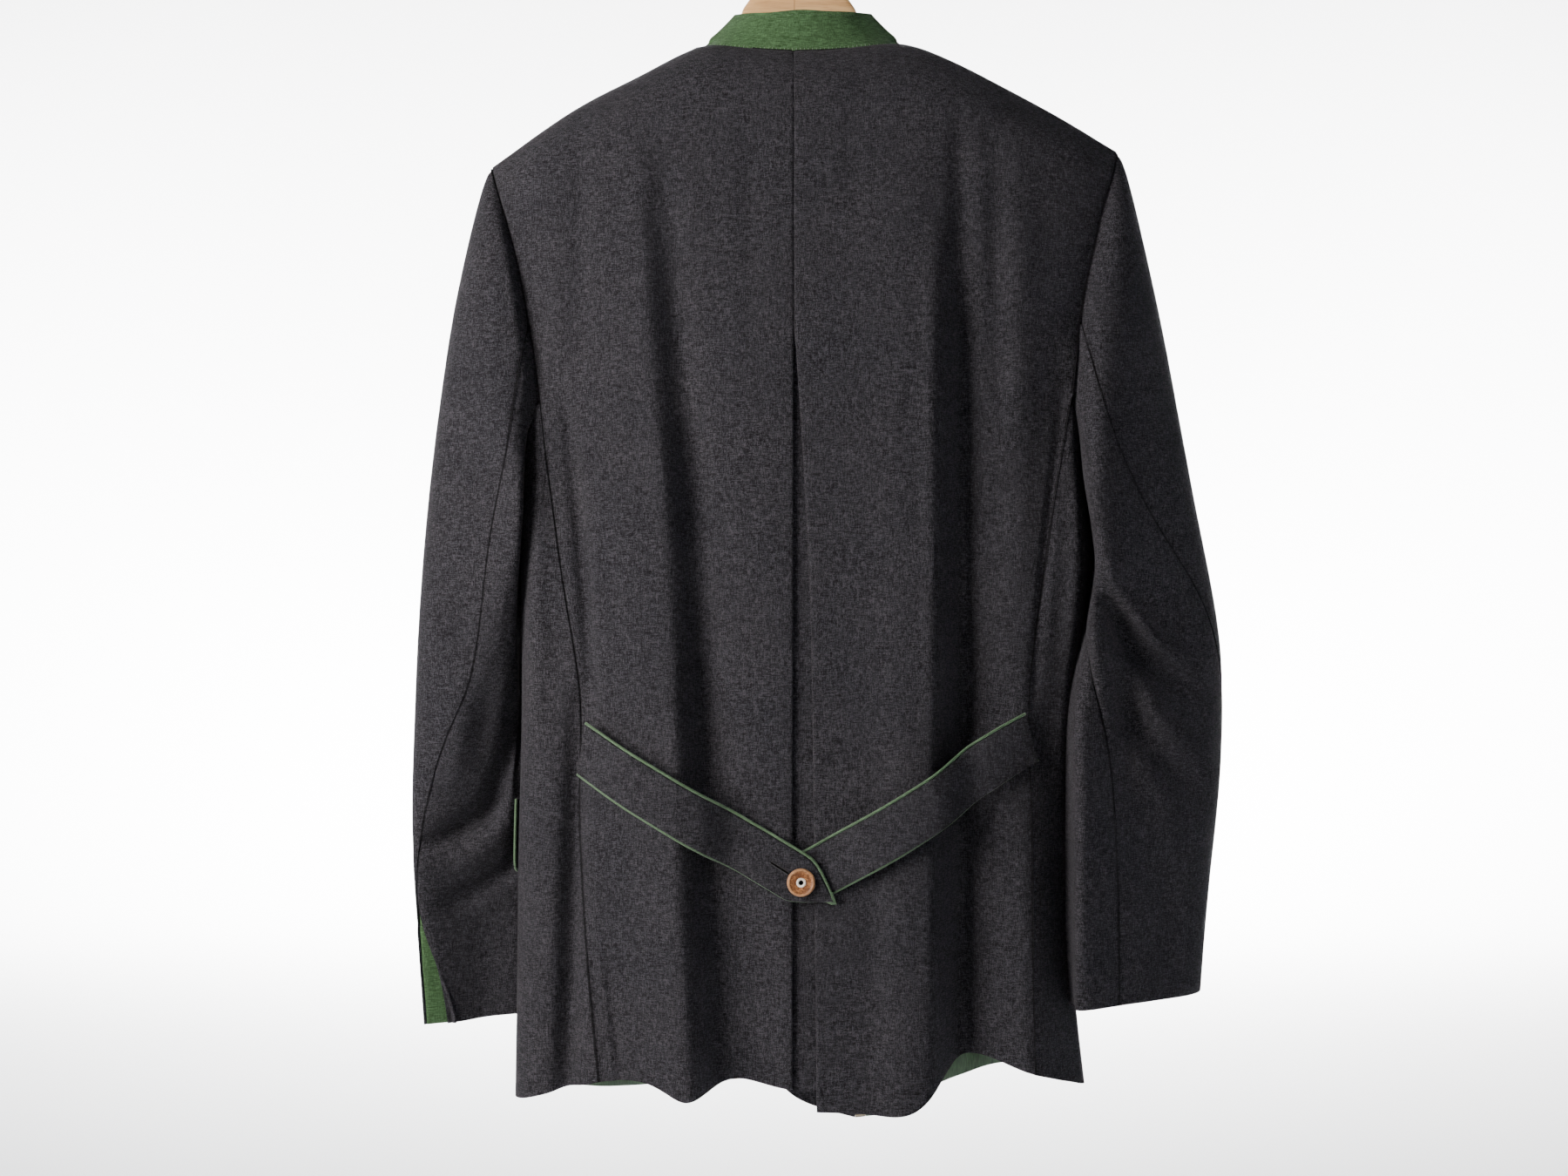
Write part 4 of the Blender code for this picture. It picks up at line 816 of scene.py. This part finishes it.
def join_rings(faces, rings, sides):
    """Faces from ring to ring of points, with flat ends; a ring of one point is a tip."""
    for low, high in zip(rings, rings[1:]):
        for k in range(sides):
            n = (k + 1) % sides
            face = [low[k % len(low)], low[n % len(low)], high[n % len(high)], high[k % len(high)]]
            faces.append(list(dict.fromkeys(face)))
    if len(rings[0]) > 1:
        faces.append(rings[0][::-1])
    if len(rings[-1]) > 1:
        faces.append(rings[-1])


def stitches(name, pairs, radius):
    """One mesh of short thread stitches, each from one point to another."""
    points, faces = [], []
    for start, end in pairs:
        ways = ring_ways((end - start).normalized(), STITCH_SIDES)
        rings = []
        for share, swell in STITCH_RINGS:
            rings.append(list(range(len(points), len(points) + STITCH_SIDES)))
            points += [start.lerp(end, share) + way * (radius * swell) for way in ways]
        join_rings(faces, rings, STITCH_SIDES)
    return new_mesh(name, points, faces)


def stand_out_at_seam(mesh):
    """Turns the collar's lower edge a little outward over the cloth it is sewn to."""
    points = coordinates(mesh)
    turn = np.arctan2(points[:, 0], points[:, 1])
    low = np.array([points[np.abs(turn - t) < LIP_SLICE, 2].min() for t in turn])
    lip = np.interp(np.abs(np.degrees(turn)), *zip(*COLLAR_LIP)) * MM
    lip *= 1 - ease((points[:, 2] - low) / COLLAR_LIP_HIGH)
    reach = np.hypot(points[:, 0], points[:, 1])
    points[:, :2] *= (1 + lip / reach)[:, None]
    set_coordinates(mesh, points)


def sewn_row(name, pairs, radius, thread):
    return linked(name, stitches(name, pairs, radius), thread)


def out_of_neck(points):
    return unit(points * np.array([1.0, 1.0, 0.0]))


def thread_finish(name, colour):
    """Twisted sewing thread, slightly glossy."""
    dark, pale = (tuple(c * share for c in colour) for share in (0.6, 1.3))
    stops = ((0.35, dark), (0.65, pale))
    return grained(name, colour, 0.6, ((2400, 2400, 2400), 1.0, 0.5), stops, 0.1)


mesh = smooth_cloth("collar").copy()
close_seams(mesh, "collar", ["back_left", "back_right", "front_left", "front_right"], out_of_neck)
stand_out_at_seam(mesh)
collar = finished("collar", mesh, linen)
points = coordinates(mesh)
collar_turn = np.degrees(np.arctan2(points[:, 0], points[:, 1]))
collar_tree = surface_of(mesh)


def on_collar(turn, height):
    """The collar's outer face at a turn from the centre back."""
    way = Vector((math.sin(math.radians(turn)), math.cos(math.radians(turn)), 0.0))
    place, _, _, _ = collar_tree.ray_cast(Vector((0.0, 0.0, height)) + way * OUTSIDE, -way)
    if place is None:
        return None
    return place + way * (THREAD * 0.3), way


overcast, topstitch = [], []
turn, next_overcast, next_topstitch = -COLLAR_TURNS, 0.0, 0.0
walked = 0.0
before = None
while turn < COLLAR_TURNS:
    near = np.abs(collar_turn - turn) < COLLAR_SLICE
    turn += COLLAR_STEP
    if not near.any():
        continue
    low, high = points[near, 2].min(), points[near, 2].max()
    here = on_collar(turn, (low + high) / 2)
    if here is None:
        continue
    if before is not None:
        walked += (here[0] - before).length
    before = here[0]
    if walked >= next_overcast:
        ends = [on_collar(turn, low + up) for up in OVERCAST]
        if all(ends):
            overcast.append((ends[0][0], ends[1][0]))
        next_overcast = walked + OVERCAST_STEP
    if walked >= next_topstitch:
        stretch = math.degrees(TOPSTITCH_LONG / COLLAR_ROUND)
        ends = [on_collar(t, high - TOPSTITCH_DOWN) for t in (turn, turn + stretch)]
        if all(ends):
            topstitch.append((ends[0][0], ends[1][0]))
        next_topstitch = walked + TOPSTITCH_STEP
pale_thread = thread_finish("pale green thread", (0.115, 0.165, 0.098))
green_thread = thread_finish("green thread", (0.030, 0.055, 0.026))
overcasting = sewn_row("collar_overcast", overcast, THREAD, pale_thread)
topstitching = sewn_row("collar_topstitch", topstitch, THREAD, green_thread)

# Half belt: two straps of doubled wool from the side-back seams, piped green along their edges.
# The left strap is cut to a point and buttoned over the right one with a single horn button.
PIPING_SWELL = 0.12 * MM  # the cord fills its bias strip
PIPING_SLANT = 35
BUTTONHOLE = ((21.0, 720.6), (8.6, 728.4))  # x and drop of its ends
HOLE_STEP = 0.75 * MM
HOLE_LIP = (0.35 * MM, 1.35 * MM)
HOLE_THREAD = 0.34 * MM
HOLE_RISE = 0.4  # share of the thread's radius by which it stands off the cloth
# Radius of the dark thread that stands for the slit's opening, painted as shade.
SLIT = 0.8 * MM


def unmarked(mesh):
    """Keeps the wool's painted seam shade off a cloth without seams of its own."""
    mark_points(mesh, SEAM_MARK, [NO_SEAM] * len(mesh.vertices))


# Bias-cut green cotton drawn round a cord: slanting threads and a soft sheen
piping_cloth = grained(
    "green piping", (0.052, 0.104, 0.045), 0.7, ((420, 900, 2600), 2.0, 0.6, PIPING_SLANT),
    ((0.36, (0.014, 0.037, 0.012)), (0.64, (0.052, 0.104, 0.045))), 0.25,
    Sheen_Weight=0.25, Sheen_Tint=(0.75, 0.95, 0.72, 1.0),
)


def piping(node):
    """A green cord of piping along a free edge."""
    mesh = smooth_cloth(node).copy()
    normals = values_of(mesh.vertices, "normal", 3)
    set_coordinates(mesh, coordinates(mesh) + normals * PIPING_SWELL)
    if node.startswith("belt"):
        drape_strap(mesh, node)
    else:
        drape_body(mesh)
    return linked(node + "_cord", mesh, piping_cloth, [node])


def laid(tree, x, drop, back=True):
    """A point on the finished cloth seen from behind or from in front, and its way out."""
    way = Vector((0.0, 1.0 if back else -1.0, 0.0))
    place, normal, _, _ = tree.ray_cast(Vector((x * MM, 0.0, -drop * MM)) + way * 0.4, -way)
    return place, normal if normal.dot(way) > 0 else -normal


def buttonhole(name, tree, ends, back):
    """A worked buttonhole: close stitches on both sides of its slit, drawn as a dark thread of
    painted shade.
    """
    start, end = (laid(tree, *spot, back)[0] for spot in ends)
    count = int((end - start).length / HOLE_STEP)
    pairs, line = [], []
    for k in range(count + 1):
        share = k / count
        x, drop = (a + (b - a) * share for a, b in zip(*ends))
        place, normal = laid(tree, x, drop, back)
        aside = normal.cross(end - start).normalized()
        line.append(place)
        for sign in (1, -1):
            rise = normal * (HOLE_THREAD * HOLE_RISE)
            pairs.append([place + aside * (sign * reach) + rise for reach in HOLE_LIP])
    rows = [(line[k], line[k + 1]) for k in range(count)]
    lips = sewn_row(name + "_stitches", pairs, HOLE_THREAD, dark_thread)
    return [lips, sewn_row(name + "_slit", rows, SLIT, shadow_cloth)]


dark_thread = thread_finish("charcoal thread", (0.012, 0.0115, 0.0125))
# Painted shade: a near-black matt finish for the slits and the buttons' eyes, standing for the shade
# inside a hole.
shadow_cloth, slit_tree, slit_shader = new_finish(
    "painted shade in a hole", (0.0015, 0.0015, 0.0018), 1.0,
)
set_sockets(slit_shader, Specular_IOR_Level=0.0)
slit_fibre = grain(slit_tree, (900, 900, 900), 1.0, 0.5)
slit_shadow_shades = ((0.4, (0.0008, 0.0008, 0.001)), (0.7, (0.003, 0.003, 0.0034)))
paint(slit_tree, slit_shader, ramp(slit_tree, slit_fibre, slit_shadow_shades))

STRAP_LIFT = ((-174, 0.0), (-98, 9.0), (-22, 0.2), (26, 0.2), (90, 8.0), (172, 0.0))
END_DRAWN_UP = 14 * MM  # how far the right strap's hidden end lies up under the left one
END_FROM = (-20, 724)  # x and drop at which that begins
STRAP_MIDDLE = (161, 644, 0.59)  # x and drop of the left strap's middle line, and its fall
LOW_EDGES = {
    "belt_left_piping": ((-26, 0.0), (-18, 1.0), (44, 1.0), (66, 0.45), (180, 0.4)),
    "belt_right_piping_low": ((-180, 1.0), (-105, 1.0), (-75, 0.45), (-20, 0.4)),
}
ROLLED_UNDER = (0.0, -1.2 * MM, 2.3 * MM)


def drape_strap(mesh, node):
    """Draws a strap taut from the button over the ridges of the back to its seam."""
    points = coordinates(mesh)
    across, drop = points[:, 0] / MM, -points[:, 2] / MM
    points[:, 1] += np.interp(across, *np.array(STRAP_LIFT).T) * MM
    if "right" in node:
        hidden = ease((across - END_FROM[0]) / 15) * ease((drop - END_FROM[1]) / 20)
        points[:, 2] += END_DRAWN_UP * hidden
    if node in LOW_EDGES:
        below = drop > STRAP_MIDDLE[1] + (STRAP_MIDDLE[0] - across) * STRAP_MIDDLE[2]
        share = np.interp(across, *np.array(LOW_EDGES[node]).T) * (below | ("low" in node))
        points += share[:, None] * np.array(ROLLED_UNDER)
    set_coordinates(mesh, points)


DOUBLED_EDGE = 0.8 * MM  # how round the pressed edge of two layers of wool is
for side, flat, area in (("right", (0.036, 0.223), 0.0077), ("left", (0.036, 0.225), 0.0074)):
    mesh = smooth_cloth("belt_" + side).copy()
    unmarked(mesh)
    drape_strap(mesh, "belt_" + side)
    belt = finished("belt_" + side, mesh, wool, DOUBLED_EDGE)
    on_it = [piping(n) for n in sorted(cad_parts) if n.startswith("belt_%s_piping" % side)]
    if side == "left":
        on_it += buttonhole("belt_buttonhole", surface_of(mesh), BUTTONHOLE, True)

# Buttons: six discs of stag horn, turned with a light rim and riveted through a pale eyelet.
# One closes the half belt at the back; five close the front.
BUTTON_RADIUS = 10.4 * MM
BUTTON_HIGH = 4.2 * MM
# Shares of the radius and of the height, from the back's middle round to the face's
BUTTON_SHAPE = (
    (0.0, 0.0), (0.78, 0.0), (0.9, 0.1), (0.98, 0.3), (1.0, 0.5), (0.99, 0.72), (0.95, 0.88),
    (0.9, 0.95), (0.84, 0.96), (0.79, 0.9), (0.75, 0.82), (0.7, 0.79), (0.5, 0.75), (0.36, 0.73),
    (0.0, 0.72),
)
EYELET_SHAPE = (
    (0.34, 0.72), (0.335, 0.86), (0.32, 0.93), (0.28, 0.95), (0.23, 0.93), (0.19, 0.86),
    (0.17, 0.78), (0.165, 0.7),
)
# A flat dark disc of painted shade inside the eyelet, where the hole is.
EYE_SHAPE = ((0.2, 0.75), (0.0, 0.745))
BUTTON_SIDES = 56


def turned(name, shape, middle, axis):
    """A part turned on a lathe, set on an axis; its reach from the axis is kept for its finish."""
    ways = ring_ways(axis, BUTTON_SIDES)
    points, faces, reaches, rings = [], [], [], []
    for reach, height in shape:
        around = ways if reach > 0 else ways[:1]
        rings.append([len(points) + k for k in range(len(around))])
        reaches += [reach] * len(around)
        out, up = reach * BUTTON_RADIUS, axis * (height * BUTTON_HIGH)
        points += [middle + way * out + up for way in around]
    join_rings(faces, rings, BUTTON_SIDES)
    mesh = new_mesh(name, points, faces)
    mark_points(mesh, "reach", reaches)
    return mesh


def horn_finish(name):
    """Polished stag horn: brown with pale and dark pores, lighter at its rim."""
    made, tree, shader = new_finish(name, (0.28, 0.13, 0.06), 0.4)
    pores = grain(tree, (700, 700, 700), 4.0, 0.65)
    cloud = grain(tree, (150, 150, 150), 3.0, 0.6)
    body = ramp(tree, pores, (
        (0.34, (0.064, 0.022, 0.007)), (0.48, (0.158, 0.060, 0.020)), (0.6, (0.25, 0.112, 0.044)),
        (0.72, (0.40, 0.225, 0.108)),
    ))
    body = shaded(tree, body, cloud, (0.35, (0.72, 0.66, 0.6)), (0.68, (1.2, 1.18, 1.15)))
    reach = knot(tree, "ShaderNodeAttribute", attribute_name="reach").outputs["Fac"]
    rim = spread_range(tree, reach, 0.74, 0.9)
    coloured = blend_colours(tree, sums(tree, rim, 0.45, "MULTIPLY"), body, (0.40, 0.225, 0.108))
    paint(tree, shader, coloured)
    raised(tree, shader, pores, 0.3)
    set_sockets(shader, Specular_IOR_Level=0.25, Coat_Weight=0.08, Coat_Roughness=0.3)
    return made


horn = horn_finish("stag horn")
# Pale enamelled metal, a little worn
eyelet_metal = grained(
    "pale eyelet", (0.62, 0.58, 0.50), 0.35, ((500, 500, 500), 3.0, 0.6),
    ((0.35, (0.48, 0.43, 0.35)), (0.62, (0.72, 0.69, 0.62))), 0.08,
)
for node in ["belt_button"] + ["front_button_%d" % k for k in range(1, 6)]:
    solid = coordinates(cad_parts[node].data)
    middle = (solid.max(axis=0) + solid.min(axis=0)) / 2
    axis = np.linalg.eigh(np.cov((solid - middle).T))[1][:, 0]
    axis *= np.sign(axis[1] * middle[1])
    lowest = ((solid - middle) @ axis).min()
    place, way = Vector(middle + axis * lowest), Vector(axis)
    # The eye is a dark disc of painted shade where the eyelet's hole is.
    for part, shape, finish, nodes in (
        ("_horn", BUTTON_SHAPE, horn, [node]), ("_eyelet", EYELET_SHAPE, eyelet_metal, []),
        ("_eye", EYE_SHAPE, shadow_cloth, []),
    ):
        linked(node + part, turned(node + part, shape, place, way), finish, nodes)

# Pocket flaps: two pieces of doubled wool that hang over the hip pockets.
# Each is sewn on along its top edge and piped in green round its free edges.
for side, flat, area in (("left", (0.131, 0.058), 0.0072), ("right", (0.128, 0.058), 0.0070)):
    mesh = smooth_cloth("flap_" + side).copy()
    unmarked(mesh)
    drape_body(mesh)
    flap = finished("flap_" + side, mesh, wool, DOUBLED_EDGE)
    piping("flap_%s_piping" % side)

# Front buttonholes: worked level in the left front, each behind its button.
# They are cut slits with close stitches of charcoal thread on both lips.
FRONT_HOLES = ((9.5, 1.0), (20.5, 1.0))
front_tree = surface_of(bpy.data.objects["front_left_cloth"].data)
for number in range(1, 6):
    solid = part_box("front_button_%d" % number)
    drop = -(solid[0][2] + solid[1][2]) / 2 / MM
    ends = tuple((x, drop + down) for x, down in FRONT_HOLES)
    buttonhole("front_buttonhole_%d" % number, front_tree, ends, False)

# Lining: green satin inside each front from the underarm to the hem, a striped braid beside it.
# The lining is hemmed just above the wool; the braid covers its join with the facing.
BRAID_EDGE = 0.25 * MM
LINING_EDGE = 0.35 * MM
STRIPE = 2.4 * MM  # one cream and one brown stripe of the braid
LINING_FLATS = {"left": (0.145, 0.532, 0.0709), "right": (0.153, 0.557, 0.0720)}
BRAID_FLATS = {"left": (0.010, 0.527, 0.0046), "right": (0.010, 0.557, 0.0048)}


def satin_finish(name, dark, pale):
    """Green satin lining: long floating threads with a lengthwise gleam."""
    made, tree, shader = new_finish(name, pale, 0.42)
    floats = grain(tree, (1900, 1900, 120), 2.0, 0.55)
    cloud = grain(tree, (22, 22, 9), 3.0, 0.6)
    threads = ramp(tree, floats, ((0.36, dark), (0.64, pale)))
    clouded = shaded(tree, threads, cloud, (0.3, (0.8, 0.84, 0.8)), (0.7, (1.12, 1.1, 1.12)))
    paint(tree, shader, clouded)
    raised(tree, shader, floats, 0.15)
    set_sockets(shader, Sheen_Weight=0.3, Sheen_Tint=(0.5, 0.8, 0.45, 1.0))
    return made


def along_axis(tree, axis):
    """The object's own coordinate along an axis, in metres."""
    place = knot(tree, "ShaderNodeTexCoord")
    split = knot(tree, "ShaderNodeSeparateXYZ")
    tree.links.new(place.outputs["Object"], split.inputs["Vector"])
    return split.outputs[axis]


def braid_finish(name, cream, brown):
    """Woven braid: cream and brown stripes across it, with ribbed threads."""
    made, tree, shader = new_finish(name, cream, 0.75)
    turns = sums(tree, along_axis(tree, "Z"), 2 * math.pi / STRIPE, "MULTIPLY")
    rows = sums(tree, turns, 0.0, "SINE")
    stripe = spread_range(tree, rows, -0.25, 0.25)
    rib = grain(tree, (1500, 1500, 600), 2.0, 0.6)
    light = ramp(tree, rib, ((0.35, tuple(c * 0.7 for c in cream)), (0.62, cream)))
    dark = ramp(tree, rib, ((0.35, tuple(c * 0.6 for c in brown)), (0.62, brown)))
    paint(tree, shader, blend_colours(tree, stripe, dark, light))
    raised(tree, shader, sums(tree, rib, sums(tree, stripe, 0.6, "MULTIPLY")), 0.25)
    return made


satin = satin_finish("green satin lining", (0.010, 0.030, 0.009), (0.036, 0.085, 0.032))
braid = braid_finish("striped braid", (0.40, 0.33, 0.22), (0.060, 0.036, 0.020))
for side in ("left", "right"):
    for kind, ending, finish, edge, flats, above in (
        ("braid", "_tape", braid, BRAID_EDGE, BRAID_FLATS, "lining_"),
        ("lining", "_cloth", satin, LINING_EDGE, LINING_FLATS, "front_"),
    ):
        node = kind + "_" + side
        mesh = smooth_cloth(node).copy()
        drape_body(mesh)
        item = finished(node, mesh, finish, edge, ending)
        above += side + "_cloth"

# Hanger: a shaped wooden suit hanger, two arms joined in the middle, varnished.
# Its hook is bent from steel wire and screwed in through the middle hump.
# The arms are a little slimmer and lower where they pass under the seam of the collar.
WOOD_JOINT = 3.6 * MM


def wood_finish(name):
    """Varnished beech: long grain along the arms, fine pores, a glued joint in the middle."""
    made, tree, shader = new_finish(name, (0.62, 0.38, 0.2), 0.38)
    bands = grain(tree, (9, 120, 170), 5.0, 0.6, slant=6, distortion=0.4)
    pores = grain(tree, (90, 90, 2200), 2.0, 0.6)
    wood = ramp(tree, bands, (
        (0.3, (0.42, 0.225, 0.085)), (0.5, (0.56, 0.330, 0.135)), (0.7, (0.65, 0.420, 0.190)),
    ))
    wood = shaded(tree, wood, pores, (0.32, (0.78, 0.72, 0.66)), (0.5, WHITE))
    off = sums(tree, sums(tree, along_axis(tree, "X"), -WOOD_JOINT), 0.0, "ABSOLUTE")
    clear = spread_range(tree, off, 0.15 * MM, 0.5 * MM)
    paint(tree, shader, shaded(tree, wood, clear, (0.0, (0.45, 0.38, 0.32)), (1.0, WHITE)))
    raised(tree, shader, bands, 0.12)
    set_sockets(shader, Coat_Weight=0.35, Coat_Roughness=0.22)
    return made


def steel_finish(name):
    """Bright drawn steel wire with fine lengthwise scratches."""
    made, tree, shader = new_finish(name, (0.62, 0.62, 0.64), 0.24)
    set_sockets(shader, Metallic=1.0)
    drawn = grain(tree, (900, 900, 900), 3.0, 0.6)
    shades = ramp(tree, drawn, ((0.3, (0.5, 0.5, 0.52)), (0.7, (0.68, 0.68, 0.70))))
    paint(tree, shader, shades)
    tree.links.new(spread_range(tree, drawn, 0.2, 0.8, 0.18, 0.34), shader.inputs["Roughness"])
    raised(tree, shader, drawn, 0.03)
    return made


ARM_HIDDEN = (44, 90)  # across: the stretch that passes under the seam
ARM_FADES = (10, 20)  # over which it becomes slimmer, and full again
ARM_SLIMMER = 0.22
ARM_LOWER = 2.5 * MM
ARM_SLICE = 8 * MM
mesh = smooth_cloth("hanger").copy()
points = coordinates(mesh)
across = np.abs(points[:, 0]) / MM
hidden = ease((across - ARM_HIDDEN[0]) / ARM_FADES[0])
hidden *= 1 - ease((across - ARM_HIDDEN[1]) / ARM_FADES[1])
middle = np.array([points[np.abs(points[:, 0] - x) < ARM_SLICE, 1].mean() for x in points[:, 0]])
points[:, 1] += (middle - points[:, 1]) * ARM_SLIMMER * hidden
points[:, 2] -= ARM_LOWER * hidden
set_coordinates(mesh, points)
linked("hanger_wood", mesh, wood_finish("varnished beech"), ["hanger"])
linked("hook_wire", smooth_cloth("hook").copy(), steel_finish("steel wire"), ["hook"])
